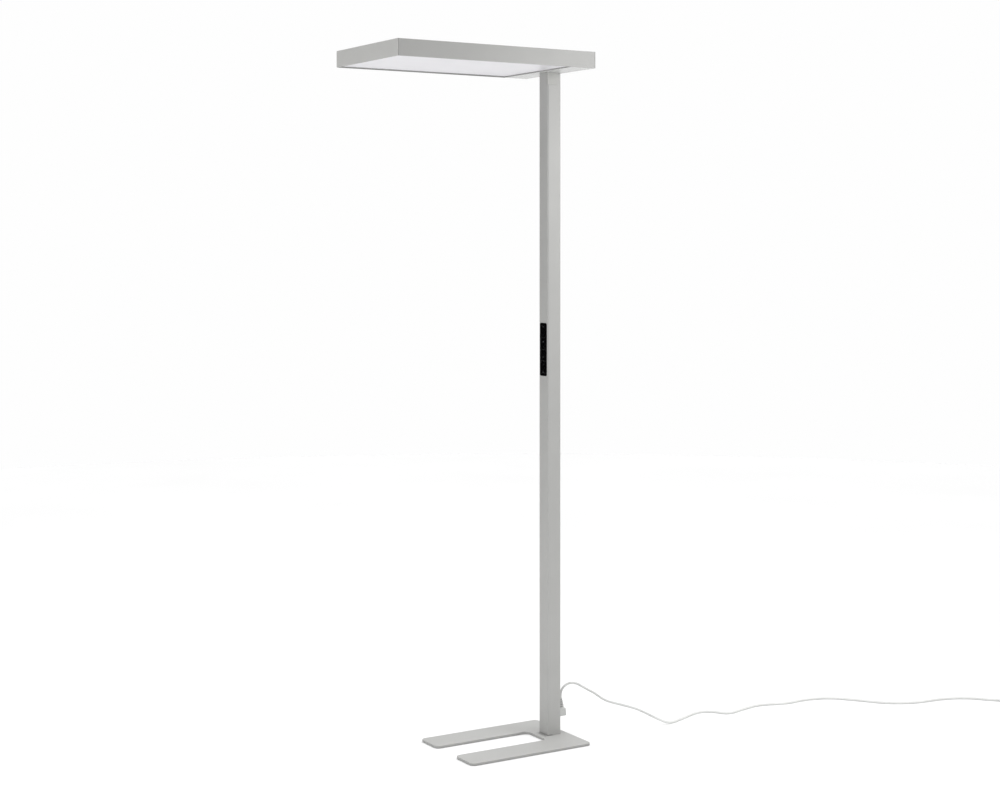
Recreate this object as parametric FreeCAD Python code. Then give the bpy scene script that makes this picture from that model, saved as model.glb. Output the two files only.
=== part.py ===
import FreeCAD, Part
import math
import os

# An office floor lamp: a shallow rectangular light head on a slim rectangular post, on a
# U-shaped steel base plate, with a black key strip in the post and a plug-in mains lead.
# Millimetres. +Z is up, +X points from the post to the back of the lamp, and the light head
# and the two prongs of the base reach out along -X. The origin is on the floor, under the
# middle of the post.

V = FreeCAD.Vector
UP = V(0, 0, 1)
DOWN = V(0, 0, -1)
FORWARD = V(-1, 0, 0)       # from the post towards the light head's free end

# ---------------------------------------------------------------- driving dimensions
LAMP_HEIGHT = 1950.0        # floor to the top edge of the light head

# Light head
HEAD_LENGTH = 626.0
HEAD_WIDTH = 360.0
HEAD_DEPTH = 46.0           # height of the frame's sides
HEAD_BACK = 34.0            # back face of the head behind the post's middle
RAIL_WALL = 2.0
RAIL_EDGE = 0.5             # bevel of the rails' outer edges
LEDGE_REACH = 7.0           # how far the rails' inner ledges stand out from the wall
LEDGE_THICK = 1.5
TOP_RECESS = 1.5            # frame's upper edge down to the top cover
TOP_SHEET = 1.5
CROSSBAR_X = -37.0          # middle of the bar between the light chamber and the back box
CROSSBAR_WALL = 2.0
PANEL_PLAY = 0.4            # play of the sheets and panes between the rails
OVERCUT = 1.0               # cutting tools run this far past what they cut
PICK = 0.1                  # tolerance when edges are picked by their place

# Light engine
DIFFUSER_THICK = 3.0
GUIDE_THICK = 3.0
REFLECTOR_THICK = 0.5
TRAY_SHEET = 1.0
STRIP_BOARD = 1.2           # thickness of the edge light strips' boards
STRIP_LED = 1.0             # height of the light-emitting stripe on a board
STRIP_ROW_MARGIN = 0.75     # light-emitting stripe inside its board's edges
STRIP_GAP = 0.2             # between an edge strip and the light guide
WINDOW_END_MARGIN = 41.0    # uplight window in the top cover to the chamber's ends
WINDOW_SIDE_MARGIN = 63.0   # and to its sides
WINDOW_CORNER = 8.0
WINDOW_OVERLAP = 8.0        # how far the uplight pane reaches under the cover
PANE_THICK = 3.0
CLIP_LENGTH = 24.0          # angle clips that carry the uplight pane
CLIP_SHEET = 1.0
CLIP_INSET = 78.0           # clips' middles inside the window's ends
BOARD_INSET = 15.0          # uplight LED boards' ends inside the window's ends
BOARD_WIDTH = 24.0
BOARD_THICK = 1.6
BOARD_SPACING = 110.0       # between the middles of the two boards
LED_ROW_WIDTH = 6.0
LED_ROW_HEIGHT = 1.2

# Frame corners
CLEAT_LEG = 30.0
CLEAT_THICK = 3.0
CLEAT_HEIGHT = 12.0
CLEAT_RISE = 21.0           # frame's lower edge up to a cleat
GRUB_RADIUS = 2.0
GRUB_LENGTH = 4.0
GRUB_INSET = 20.0           # grub screws to the inner corner of the frame

# Back box: cover, bracket, driver
COVER_SHEET = 1.5           # flush with the frame's lower edge, under the ledges
BRACKET_SHEET = 3.0
BRACKET_FLANGE = 18.0       # height of the bracket's upturned flanges
BRACKET_FLANGE_LENGTH = 64.0
BRACKET_END_GAP = 12.0      # bracket's ends to the side rails
STUD_RADIUS = 2.0
STUD_LENGTH = 7.0
STUD_SPACING = 40.0
STUD_RISE = 11.0            # above the bracket's floor
NUT_RADIUS = 4.0
NUT_HEIGHT = 3.2
DRIVER_LENGTH = 100.0
DRIVER_WIDTH = 52.0
DRIVER_HEIGHT = 24.0
DRIVER_END_GAP = 8.0        # driver's outer ear to the bracket's end
EAR_LENGTH = 8.0
EAR_THICK = 2.0
EAR_INSET = 8.0             # ears narrower than the housing on each side
DRIVER_ROUND = 1.0
DRIVER_SCREW_RADIUS = 2.0
DRIVER_SCREW_HEAD = 4.0
TERMINAL_LENGTH = 34.0
TERMINAL_WIDTH = 30.0
TERMINAL_HEIGHT = 20.0
LEAD_RADIUS = 2.5
LEAD_REACH = 12.5           # LED leads' bend past the crossbar
LEAD_INSET = 26.0           # LED leads inside the driver's ends
COVER_SCREW_INSET = 24.0    # cover screws to the side rails
COVER_SCREW_RADIUS = 1.5
COVER_SCREW_HEAD = 2.8

# Post
POST_X = 44.0               # along the head
POST_Y = 46.0               # across the head
POST_WALL = 2.0
POST_CORNER = 3.0

# Neck
SPIGOT_PLAY = 0.2
SPIGOT_DROP = 62.0          # how far the spigot reaches down into the post
SPIGOT_WALL = 7.0
NECK_BOLT_RADIUS = 2.5
NECK_BOLT_HEAD = 4.5
NECK_BOLT_LENGTH = 16.0
NECK_PLATE_HEIGHT = 35.0    # cover plate over the neck screws
NECK_PLATE_SIDE = 30.0      # its width on the post's side face
NECK_PLATE_FRONT = 9.0      # its width round the corner, on the front face
NECK_PLATE_SHEET = 1.5
NECK_SCREW_RADIUS = 2.5
NECK_SCREW_HEAD = 4.5
NECK_SCREW_REACH = 7.0
NECK_SCREW_PITCH = 16.0

# Base
BASE_THICK = 7.4
BASE_WIDTH = 288.0
BASE_FRONT = 345.0          # front ends of the prongs ahead of the post's middle
BASE_BACK = 45.5            # back edge behind the post's middle
SLOT_WIDTH = 103.0
SLOT_END = 44.0             # closed end of the slot ahead of the post's middle
SLOT_CORNER = 16.0
PRONG_CORNER = 14.0
BACK_CORNER = 12.0
BASE_EDGE = 1.2             # rounding of the plate's edges
PAD_RADIUS = 9.0
PAD_THICK = 1.8
PAD_PROUD = 0.6             # pads stand this far out of the plate
PAD_INSET = 22.0            # middle of a pad to the plate's edges

# Foot block
FOOT_HEIGHT = 30.0
FOOT_PLAY = 0.2
FOOT_SCREW_RADIUS = 3.0
FOOT_SCREW_HEAD = 6.0
FOOT_SCREW_REACH = 16.0     # thread in the foot block
FOOT_SCREW_X = 13.0
FOOT_SCREW_Y = 14.0
SIDE_SCREW_RADIUS = 2.0
SIDE_SCREW_HEAD = 3.8
SIDE_SCREW_REACH = 9.0
SIDE_SCREW_Y = 12.0
SIDE_SCREW_RISE = 22.0      # above the base plate

# Hexagon sockets of the screws: corner radius, and depth, over the shank's radius
HEX_TO_SHANK = 0.8

# Key strip in the post's front face
STRIP_Z = 1111.0            # middle of the key strip above the floor
STRIP_HEIGHT = 152.0
STRIP_WIDTH = 35.0
STRIP_CORNER = 5.5
STRIP_FLANGE = 0.8          # the bezel's flange on the post's face
BEZEL_INSET = 2.3           # bezel's body inside its flange, all round
BEZEL_DEPTH = 5.0           # bezel's body behind the post's face
BEZEL_PLAY = 0.2
KEY_COUNT = 4
KEY_HEIGHT = 32.6
KEY_WIDTH = 25.0
KEY_PITCH = 34.4
KEY_PLAY = 0.2
KEY_PROUD = 0.3             # key faces ahead of the bezel
KEY_FLANGE_REACH = 0.9
KEY_FLANGE_THICK = 1.0
KEY_CAP = 3.4               # key face to the front of its flange
KEY_CORNER = 1.5
KEY_SEAT_GAP = 0.1
KEY_TRAVEL = 0.8
KEY_STEM_RADIUS = 3.0
KEY_STEM_LENGTH = 0.7
KEY_STOP_GAP = 0.15         # stem to switch when the key is pressed home
SWITCH_SIZE = 6.0
SWITCH_HEIGHT = 1.6
BOARD_PLAY = 1.0
CONTROL_BOARD_THICK = 1.6
SOCKET_HEIGHT = 12.0        # cable socket on the back of the control board
SOCKET_DEPTH = 6.8
SOCKET_WIDTH = 10.0
SOCKET_RISE = 50.0          # above the middle of the strip
BOARD_SCREW_RADIUS = 1.0
BOARD_SCREW_HEAD = 1.9
BOARD_SCREW_REACH = 3.0
SNAP_REACH = 1.0
SNAP_THICK = 1.4
SNAP_WIDTH = 12.0
BOSS_WIDTH = 14.0           # posts for the control board's screws

# Mains inlet in the post's back face
INLET_Z = 66.0
INLET_FLANGE_Y = 31.0
INLET_FLANGE_Z = 24.0
INLET_FLANGE_THICK = 2.0
INLET_BODY_Y = 26.8
INLET_BODY_Z = 19.6
INLET_DEPTH = 25.0
INLET_PLAY = 0.2
INLET_WALL = 1.3
INLET_CAVITY = 17.0
INLET_CORNER = 2.0
BLADE_WIDTH = 2.0
BLADE_HEIGHT = 4.0
BLADE_LENGTH = 13.0
BLADE_ROOT = 3.0            # blade set into the back wall of the socket
BLADE_SPACING = 7.0
BLADE_OFFSET = 2.0          # earth blade above, line and neutral below the middle
SHROUD_DEPTH = 9.0          # terminal shroud behind the inlet
SHROUD_WIDTH = 24.0

# Cables inside the post
CABLE_RADIUS = 3.0
CABLE_Y = 8.0
SIGNAL_RADIUS = 2.0
SIGNAL_Y = -8.0

# Right-angle connector on the mains lead
NOSE_PLAY = 0.25
NOSE_REACH = 15.0
SLEEVE_PLAY = 0.3           # blade slots in the connector's nose
SLEEVE_FLOOR = 1.0          # the slots end this far before the inlet's flange
CONNECTOR_WIDTH = 27.0
CONNECTOR_BOTTOM = 54.5
CONNECTOR_TOP = 77.0
CONNECTOR_DEPTH = 25.5      # out from the inlet's flange, at the bottom
CONNECTOR_TAPER = 2.5       # less deep by this at the top
CONNECTOR_ROUND = 3.5
RELIEF_X = 36.5             # axis of the strain relief behind the post's middle
RELIEF_LENGTH = 27.0
RELIEF_BOTTOM_RADIUS = 10.0
RELIEF_TOP_RADIUS = 4.8
RELIEF_RIBS = 4
RELIEF_GROOVE = 1.3

# Mains lead
CORD_RADIUS = 3.25
ARC_SHARE = 0.45            # share of the shorter run that a tangent arc takes
# Middle line of the lead from the strain relief, in an arch down to the floor and along it.
ROUTE = [
    (36.5, 0, 104), (36.5, 0, 121), (45, -3, 137), (62, -7, 146), (83.5, -12, 143.5),
    (109, -18, 126.5), (136, -23, 112), (171.5, -31, 84), (215, -43, 71), (274, -57, 51),
    (327, -71, 20), (363, -85, 3.25), (441, -56, 3.25), (516, -24, 3.25), (558, -42, 3.25),
    (580, -93, 3.25), (659, -69, 3.25), (732, -56, 3.25), (807, -90, 3.25),
    (889, -82, 3.25), (968, -105, 3.25), (1021, -169, 3.25), (1072, -248, 3.25),
    (1160, -293, 3.25), (1248, -296, 3.25), (1329, -326, 3.25), (1389, -401, 3.25),
    (1451.7, -453.6, 4.0),
]
COIL_MIDDLE = (1479.0, -421.0)
COIL_TURN_RADIUS = 36.0     # middle of the turns
COIL_RINGS = 3              # turns side by side
COIL_LAYERS = 2
COIL_SLACK = 0.75
COIL_ROUND = 2.9            # rounding of the coil's and the tie's edges
TIE_THICK = 0.6
TIE_WIDTH = 7.0
TIE_ANGLE = 60.0            # where the tie goes round the coil, in degrees from +X
# Middle line of the lead's last piece, from the coil to the mains plug.
TAIL = [(1479, -463.5, 10.6), (1500, -463.5, 8.2), (1520, -462, 5.0), (1541, -460, 4.3)]

# Mains plug, lying on the floor beside the coil
PLUG_RELIEF_LENGTH = 24.0
PLUG_RELIEF_RADIUS = 4.4
PLUG_NECK_RADIUS = 6.6
PLUG_STEP = 2.0             # grip's foot proud of the strain relief
PLUG_GRIP_LENGTH = 28.0
PLUG_RADIUS = 18.5
PLUG_FACE_LENGTH = 15.0
PLUG_PIN_RADIUS = 2.4
PLUG_PIN_LENGTH = 19.0
PLUG_PIN_SPACING = 19.0
PLUG_PIN_ROOT = 6.0
PLUG_PIN_TIP = 1.4          # rounding of the pins' ends
PLUG_ROUND = 1.5

# ---------------------------------------------------------------- derived places
HEAD_BOTTOM = LAMP_HEIGHT - HEAD_DEPTH
HEAD_FRONT = HEAD_BACK - HEAD_LENGTH
HALF_WIDTH = HEAD_WIDTH / 2
LEDGE_Z = HEAD_BOTTOM + COVER_SHEET
DIFFUSER_Z = LEDGE_Z + LEDGE_THICK
GUIDE_Z = DIFFUSER_Z + DIFFUSER_THICK
REFLECTOR_Z = GUIDE_Z + GUIDE_THICK
TRAY_Z = REFLECTOR_Z + REFLECTOR_THICK
TOP_SHEET_Z = LAMP_HEIGHT - TOP_RECESS - TOP_SHEET
TOP_LEDGE_Z = TOP_SHEET_Z - LEDGE_THICK
PANE_Z = TOP_SHEET_Z - PANE_THICK
CHAMBER_FRONT = HEAD_FRONT + RAIL_WALL
CHAMBER_BACK = CROSSBAR_X - CROSSBAR_WALL / 2
CHAMBER_MIDDLE = (CHAMBER_FRONT + CHAMBER_BACK) / 2
BOX_FRONT = CROSSBAR_X + CROSSBAR_WALL / 2
BOX_BACK = HEAD_BACK - RAIL_WALL
BOX_MIDDLE = (BOX_FRONT + BOX_BACK) / 2
INNER_HALF = HALF_WIDTH - RAIL_WALL
WINDOW_LENGTH = CHAMBER_BACK - CHAMBER_FRONT - 2 * WINDOW_END_MARGIN
WINDOW_WIDTH = 2 * (INNER_HALF - WINDOW_SIDE_MARGIN)
BOARD_LENGTH = WINDOW_LENGTH - 2 * BOARD_INSET
BRACKET_HALF = INNER_HALF - BRACKET_END_GAP
DRIVER_Y = BRACKET_HALF - DRIVER_END_GAP - EAR_LENGTH - DRIVER_LENGTH
BRACKET_TOP = DIFFUSER_Z + BRACKET_SHEET

BASE_BOTTOM = PAD_PROUD
BASE_TOP = BASE_BOTTOM + BASE_THICK
POST_INNER_X = POST_X - 2 * POST_WALL
POST_INNER_Y = POST_Y - 2 * POST_WALL
SPIGOT_X = POST_INNER_X - 2 * SPIGOT_PLAY
SPIGOT_Y = POST_INNER_Y - 2 * SPIGOT_PLAY
SPIGOT_BORE_X = SPIGOT_X - 2 * SPIGOT_WALL
SPIGOT_BORE_Y = SPIGOT_Y - 2 * SPIGOT_WALL
SPIGOT_BOTTOM = HEAD_BOTTOM - SPIGOT_DROP
FRONT_FACE = -POST_X / 2
BACK_FACE = POST_X / 2
SIDE_FACE = -POST_Y / 2
NECK_SCREW_Z = HEAD_BOTTOM - NECK_PLATE_HEIGHT / 2
NECK_SCREW_X = FRONT_FACE + NECK_PLATE_SIDE / 2

BEZEL_HEIGHT = STRIP_HEIGHT - 2 * BEZEL_INSET
BEZEL_WIDTH = STRIP_WIDTH - 2 * BEZEL_INSET
BEZEL_FRONT = FRONT_FACE - STRIP_FLANGE
BEZEL_BACK = FRONT_FACE + BEZEL_DEPTH
KEY_FACE = BEZEL_FRONT - KEY_PROUD
KEY_FLANGE_X = KEY_FACE + KEY_CAP
KEY_SEAT_X = KEY_FLANGE_X - KEY_SEAT_GAP
KEY_BACK = KEY_FLANGE_X + KEY_FLANGE_THICK
STEM_END = KEY_BACK + KEY_STEM_LENGTH
SWITCH_FRONT = STEM_END + KEY_TRAVEL + KEY_STOP_GAP
CONTROL_BOARD_X = SWITCH_FRONT + SWITCH_HEIGHT
CONTROL_BOARD_BACK = CONTROL_BOARD_X + CONTROL_BOARD_THICK
KEY_ROW = KEY_COUNT * KEY_PITCH - (KEY_PITCH - KEY_HEIGHT)
BOARD_SCREW_Z = (KEY_ROW + BEZEL_HEIGHT) / 4 + KEY_PLAY / 2
KEY_NAMES = ["key_power", "key_brighter", "key_dimmer", "key_auto"]

INLET_FACE = BACK_FACE + INLET_FLANGE_THICK
INLET_BACK = BACK_FACE - INLET_DEPTH
CAVITY_BACK = INLET_FACE - INLET_CAVITY
CAVITY_Y = INLET_BODY_Y - 2 * INLET_WALL
CAVITY_Z = INLET_BODY_Z - 2 * INLET_WALL
SHROUD_X = INLET_BACK - SHROUD_DEPTH
SHROUD_TOP = INLET_Z + INLET_BODY_Z / 2
CABLE_X = INLET_BACK - SHROUD_DEPTH / 2
SIGNAL_X = CONTROL_BOARD_BACK + SOCKET_DEPTH / 2
NOSE_Y = CAVITY_Y - 2 * NOSE_PLAY
NOSE_Z = CAVITY_Z - 2 * NOSE_PLAY

CORD_DIAMETER = 2 * CORD_RADIUS
PLUG_LENGTH = PLUG_RELIEF_LENGTH + PLUG_GRIP_LENGTH + PLUG_FACE_LENGTH


# ---------------------------------------------------------------- helpers
def block(x0, x1, y0, y1, z0, z1):
    """Box between two corners."""
    return Part.makeBox(x1 - x0, y1 - y0, z1 - z0, V(x0, y0, z0))


def centred(x0, x1, size_y, size_z, y=0.0, z=0.0):
    """Box from x0 to x1, centred on y and z."""
    return block(x0, x1, y - size_y / 2, y + size_y / 2, z - size_z / 2, z + size_z / 2)


def upright(size_x, size_y, z0, z1, x=0.0, y=0.0):
    """Box from z0 to z1, centred on x and y."""
    return block(x - size_x / 2, x + size_x / 2, y - size_y / 2, y + size_y / 2, z0, z1)


def rod(radius, start, end):
    """Cylinder between two points."""
    way = end - start
    return Part.makeCylinder(radius, way.Length, start, way)


def cone(radius_start, radius_end, start, end):
    """Cone between two points."""
    way = end - start
    return Part.makeCone(radius_start, radius_end, way.Length, start, way)


def along(shape, axis):
    """Straight edges of a shape that run along an axis."""
    found = []
    for edge in shape.Edges:
        if edge.Curve.TypeId == "Part::GeomLine":
            if abs(abs(edge.Curve.Direction.dot(axis)) - 1) < 1e-6:
                found.append(edge)
    return found


def rounded(shape, radius, axis):
    """Round all the edges along an axis."""
    return shape.makeFillet(radius, along(shape, axis))


def union(shapes):
    """Fuse touching solids into one and clean the seams."""
    result = shapes[0]
    for shape in shapes[1:]:
        result = result.fuse(shape)
    return result.removeSplitter()


def screw(head_radius, radius, seat, tip, head_height):
    """Countersunk screw: its cone starts at the seat, flush, and narrows towards the tip."""
    way = (tip - seat).normalize()
    neck = seat + way * head_height
    return union([cone(head_radius, radius, seat, neck), rod(radius, neck, tip)])


def pan_screw(head_radius, radius, seat, tip, head_height):
    """Screw with a low cylinder head that stands on the seat."""
    way = (tip - seat).normalize()
    return union([rod(head_radius, seat - way * head_height, seat), rod(radius, seat, tip)])


def socketed(shape, way, shank):
    """Screw with a hexagon socket in its head's face; way points from its head to its tip."""
    box = shape.BoundBox
    mouth = box.Center - V(way.x * box.XLength, way.y * box.YLength, way.z * box.ZLength) / 2
    across = V(way.z, way.x, way.y)
    up = way.cross(across)
    radius = shank * HEX_TO_SHANK
    corners = []
    for n in range(6):
        turn = math.radians(60 * n)
        corners.append(mouth + across * radius * math.cos(turn) + up * radius * math.sin(turn))
    hexagon = Part.Face(Part.makePolygon(corners + [corners[0]]))
    return shape.cut(hexagon.extrude(way * radius))


# ---------------------------------------------------------------- base
def base_outline():
    """Plate with a slot between two prongs, its corners rounded."""
    plate = block(-BASE_FRONT, BASE_BACK, -BASE_WIDTH / 2, BASE_WIDTH / 2, BASE_BOTTOM, BASE_TOP)
    tips = [e for e in along(plate, UP) if e.CenterOfMass.x < 0]
    plate = plate.makeFillet(PRONG_CORNER, tips)
    heels = [e for e in along(plate, UP) if e.CenterOfMass.x > 0]
    heels = [e for e in heels if e.CenterOfMass.x > BASE_BACK - PICK]
    plate = plate.makeFillet(BACK_CORNER, heels)
    slot = block(-BASE_FRONT - OVERCUT, -SLOT_END, -SLOT_WIDTH / 2, SLOT_WIDTH / 2,
                 BASE_BOTTOM - OVERCUT, BASE_TOP + OVERCUT)
    inner = [e for e in along(slot, UP) if e.CenterOfMass.x > -SLOT_END - PICK]
    plate = plate.cut(slot.makeFillet(SLOT_CORNER, inner))
    mouth = []
    for edge in along(plate, UP):
        spot = edge.CenterOfMass
        at_slot = abs(abs(spot.y) - SLOT_WIDTH / 2) < PICK
        if at_slot and spot.x < -BASE_FRONT + PICK:
            mouth.append(edge)
    plate = plate.makeFillet(PRONG_CORNER, mouth)
    rim = []
    for edge in plate.Edges:
        box = edge.BoundBox
        if box.ZLength < PICK:
            rim.append(edge)
    return plate.makeFillet(BASE_EDGE, rim)


def pad_places():
    """Middles of the rubber pads: at the four corners and under the post."""
    y = BASE_WIDTH / 2 - PAD_INSET
    inner = (BASE_WIDTH + SLOT_WIDTH) / 4
    tip = -BASE_FRONT + PAD_INSET
    heel = BASE_BACK - PAD_INSET
    return [(tip, inner), (tip, -inner), (heel, y), (heel, -y), (0, 0)]


def foot_screw_places():
    return [(x, y) for x in (-FOOT_SCREW_X, FOOT_SCREW_X) for y in (-FOOT_SCREW_Y, FOOT_SCREW_Y)]


def foot_screw(x, y):
    return screw(FOOT_SCREW_HEAD, FOOT_SCREW_RADIUS, V(x, y, BASE_BOTTOM),
                 V(x, y, BASE_TOP + FOOT_SCREW_REACH), FOOT_SCREW_HEAD - FOOT_SCREW_RADIUS)


def side_screws():
    """Two screws through the post's back wall into the foot block."""
    z = BASE_TOP + SIDE_SCREW_RISE
    head = SIDE_SCREW_HEAD - SIDE_SCREW_RADIUS
    tip = BACK_FACE - SIDE_SCREW_REACH
    return [screw(SIDE_SCREW_HEAD, SIDE_SCREW_RADIUS, V(BACK_FACE, y, z), V(tip, y, z), head)
            for y in (-SIDE_SCREW_Y, SIDE_SCREW_Y)]


def base_plate():
    plate = base_outline()
    for x, y in pad_places():
        floor = BASE_BOTTOM + PAD_THICK - PAD_PROUD
        plate = plate.cut(rod(PAD_RADIUS, V(x, y, BASE_BOTTOM - OVERCUT), V(x, y, floor)))
    for x, y in foot_screw_places():
        plate = plate.cut(foot_screw(x, y))
    return plate


def base_pads():
    return [rod(PAD_RADIUS, V(x, y, 0), V(x, y, PAD_THICK)) for x, y in pad_places()]


def foot_block():
    size_x = POST_INNER_X - 2 * FOOT_PLAY
    size_y = POST_INNER_Y - 2 * FOOT_PLAY
    piece = upright(size_x, size_y, BASE_TOP, BASE_TOP + FOOT_HEIGHT)
    piece = rounded(piece, POST_CORNER - POST_WALL + FOOT_PLAY, UP)
    for x, y in foot_screw_places():
        piece = piece.cut(foot_screw(x, y))
    for piece_screw in side_screws():
        piece = piece.cut(piece_screw)
    return piece


# ---------------------------------------------------------------- post
def neck_screws():
    """Two screws through the post's side wall into the neck spigot."""
    found = []
    for z in (NECK_SCREW_Z - NECK_SCREW_PITCH / 2, NECK_SCREW_Z + NECK_SCREW_PITCH / 2):
        seat = V(NECK_SCREW_X, SIDE_FACE, z)
        tip = V(NECK_SCREW_X, SIDE_FACE + POST_WALL + SPIGOT_PLAY + NECK_SCREW_REACH, z)
        found.append(screw(NECK_SCREW_HEAD, NECK_SCREW_RADIUS, seat, tip,
                           NECK_SCREW_HEAD - NECK_SCREW_RADIUS))
    return found


def post():
    """Rectangular tube with openings for the key strip and the inlet."""
    outer = rounded(upright(POST_X, POST_Y, BASE_TOP, DIFFUSER_Z), POST_CORNER, UP)
    inner = upright(POST_INNER_X, POST_INNER_Y, BASE_TOP - OVERCUT, DIFFUSER_Z + OVERCUT)
    inner = rounded(inner, POST_CORNER - POST_WALL, UP)
    tube = outer.cut(inner)
    tube = tube.cut(centred(FRONT_FACE - OVERCUT, FRONT_FACE + POST_WALL + OVERCUT,
                            BEZEL_WIDTH + 2 * BEZEL_PLAY, BEZEL_HEIGHT + 2 * BEZEL_PLAY,
                            z=STRIP_Z))
    tube = tube.cut(centred(BACK_FACE - POST_WALL - OVERCUT, BACK_FACE + OVERCUT,
                            INLET_BODY_Y + 2 * INLET_PLAY, INLET_BODY_Z + 2 * INLET_PLAY,
                            z=INLET_Z))
    for piece_screw in side_screws() + neck_screws():
        tube = tube.cut(piece_screw)
    return tube


# ---------------------------------------------------------------- key strip
def key_middles():
    """Heights of the keys' middles, the uppermost first."""
    first = STRIP_Z + (KEY_COUNT - 1) * KEY_PITCH / 2
    return [first - n * KEY_PITCH for n in range(KEY_COUNT)]


def board_screw_heights():
    return [STRIP_Z - BOARD_SCREW_Z, STRIP_Z + BOARD_SCREW_Z]


def board_screw(z):
    return pan_screw(BOARD_SCREW_HEAD, BOARD_SCREW_RADIUS, V(CONTROL_BOARD_BACK, 0, z),
                     V(CONTROL_BOARD_X - BOARD_SCREW_REACH, 0, z), BOARD_SCREW_RADIUS)


def key_bezel():
    """Flanged frame with one window per key, snap hooks and two posts for the board."""
    flange = centred(BEZEL_FRONT, FRONT_FACE, STRIP_WIDTH, STRIP_HEIGHT, z=STRIP_Z)
    flange = rounded(flange, STRIP_CORNER, V(1, 0, 0))
    body = centred(FRONT_FACE, BEZEL_BACK, BEZEL_WIDTH, BEZEL_HEIGHT, z=STRIP_Z)
    parts = [flange, body]
    boss_height = (BEZEL_HEIGHT - KEY_ROW) / 2 - KEY_PLAY
    for side in (-1, 1):
        middle = STRIP_Z + side * (BEZEL_HEIGHT - boss_height) / 2
        parts.append(centred(BEZEL_BACK, CONTROL_BOARD_X, BOSS_WIDTH, boss_height, z=middle))
        wall_back = FRONT_FACE + POST_WALL + BEZEL_PLAY
        hook = STRIP_Z + side * (BEZEL_HEIGHT / 2 + SNAP_REACH / 2)
        parts.append(centred(wall_back, wall_back + SNAP_THICK, SNAP_WIDTH, SNAP_REACH, z=hook))
    frame = union(parts)
    for z in key_middles():
        window = centred(BEZEL_FRONT - OVERCUT, BEZEL_BACK + OVERCUT, KEY_WIDTH + 2 * KEY_PLAY,
                         KEY_HEIGHT + 2 * KEY_PLAY, z=z)
        frame = frame.cut(rounded(window, KEY_CORNER, V(1, 0, 0)))
    pocket_width = KEY_WIDTH + 2 * KEY_FLANGE_REACH + 2 * KEY_PLAY
    frame = frame.cut(centred(KEY_SEAT_X, BEZEL_BACK + OVERCUT, pocket_width,
                              KEY_ROW + 2 * KEY_PLAY, z=STRIP_Z))
    for z in board_screw_heights():
        frame = frame.cut(board_screw(z))
    return frame


def key(z):
    """Key cap with side flanges that hold it in and a stem that meets the switch."""
    cap = centred(KEY_FACE, KEY_BACK, KEY_WIDTH, KEY_HEIGHT, z=z)
    cap = rounded(cap, KEY_CORNER, V(1, 0, 0))
    flange = centred(KEY_FLANGE_X, KEY_BACK, KEY_WIDTH + 2 * KEY_FLANGE_REACH,
                     KEY_HEIGHT - 2 * KEY_CORNER, z=z)
    stem = rod(KEY_STEM_RADIUS, V(KEY_BACK, 0, z), V(STEM_END, 0, z))
    return union([cap, flange, stem])


def control_board():
    board = centred(CONTROL_BOARD_X, CONTROL_BOARD_BACK, BEZEL_WIDTH - 2 * BOARD_PLAY,
                    BEZEL_HEIGHT - 2 * BOARD_PLAY, z=STRIP_Z)
    for z in board_screw_heights():
        board = board.cut(board_screw(z))
    return board


def key_switches():
    return [centred(SWITCH_FRONT, CONTROL_BOARD_X, SWITCH_SIZE, SWITCH_SIZE, z=z)
            for z in key_middles()]


def board_socket():
    z = STRIP_Z + SOCKET_RISE
    return centred(CONTROL_BOARD_BACK, CONTROL_BOARD_BACK + SOCKET_DEPTH, SOCKET_WIDTH,
                   SOCKET_HEIGHT, y=SIGNAL_Y, z=z)


# ---------------------------------------------------------------- inlet and connector
def blade_places():
    return [(0.0, BLADE_OFFSET), (-BLADE_SPACING, -BLADE_OFFSET), (BLADE_SPACING, -BLADE_OFFSET)]


def inlet_blades():
    return [centred(CAVITY_BACK - BLADE_ROOT, CAVITY_BACK + BLADE_LENGTH, BLADE_WIDTH,
                    BLADE_HEIGHT, y=y, z=INLET_Z + z) for y, z in blade_places()]


def mains_inlet():
    """Socket housing with its flange on the post and a terminal shroud behind."""
    flange = centred(BACK_FACE, INLET_FACE, INLET_FLANGE_Y, INLET_FLANGE_Z, z=INLET_Z)
    flange = rounded(flange, INLET_CORNER, V(1, 0, 0))
    body = centred(INLET_BACK, BACK_FACE, INLET_BODY_Y, INLET_BODY_Z, z=INLET_Z)
    shroud = centred(SHROUD_X, INLET_BACK, SHROUD_WIDTH, INLET_BODY_Z, z=INLET_Z)
    housing = union([flange, body, shroud])
    cavity = centred(CAVITY_BACK, INLET_FACE + OVERCUT, CAVITY_Y, CAVITY_Z, z=INLET_Z)
    housing = housing.cut(rounded(cavity, INLET_CORNER, V(1, 0, 0)))
    for blade in inlet_blades():
        housing = housing.cut(blade)
    return housing


def lead_connector():
    """Right-angle connector: nose in the inlet, body against its flange, sleeve on top."""
    nose = centred(INLET_FACE - NOSE_REACH, INLET_FACE, NOSE_Y, NOSE_Z, z=INLET_Z)
    nose = rounded(nose, INLET_CORNER, V(1, 0, 0))
    for y, z in blade_places():
        nose = nose.cut(centred(INLET_FACE - NOSE_REACH - OVERCUT, INLET_FACE - SLEEVE_FLOOR,
                                BLADE_WIDTH + 2 * SLEEVE_PLAY, BLADE_HEIGHT + 2 * SLEEVE_PLAY,
                                y=y, z=INLET_Z + z))
    half = CONNECTOR_WIDTH / 2
    back = INLET_FACE + CONNECTOR_DEPTH
    corners = [V(INLET_FACE, -half, CONNECTOR_BOTTOM), V(back, -half, CONNECTOR_BOTTOM),
               V(back - CONNECTOR_TAPER, -half, CONNECTOR_TOP), V(INLET_FACE, -half, CONNECTOR_TOP)]
    side = Part.Face(Part.makePolygon(corners + [corners[0]]))
    body = side.extrude(V(0, CONNECTOR_WIDTH, 0))
    outer = [e for e in body.Edges if e.CenterOfMass.x > INLET_FACE + PICK]
    body = body.makeFillet(CONNECTOR_ROUND, outer)
    return union([body, nose, strain_relief()])


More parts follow.
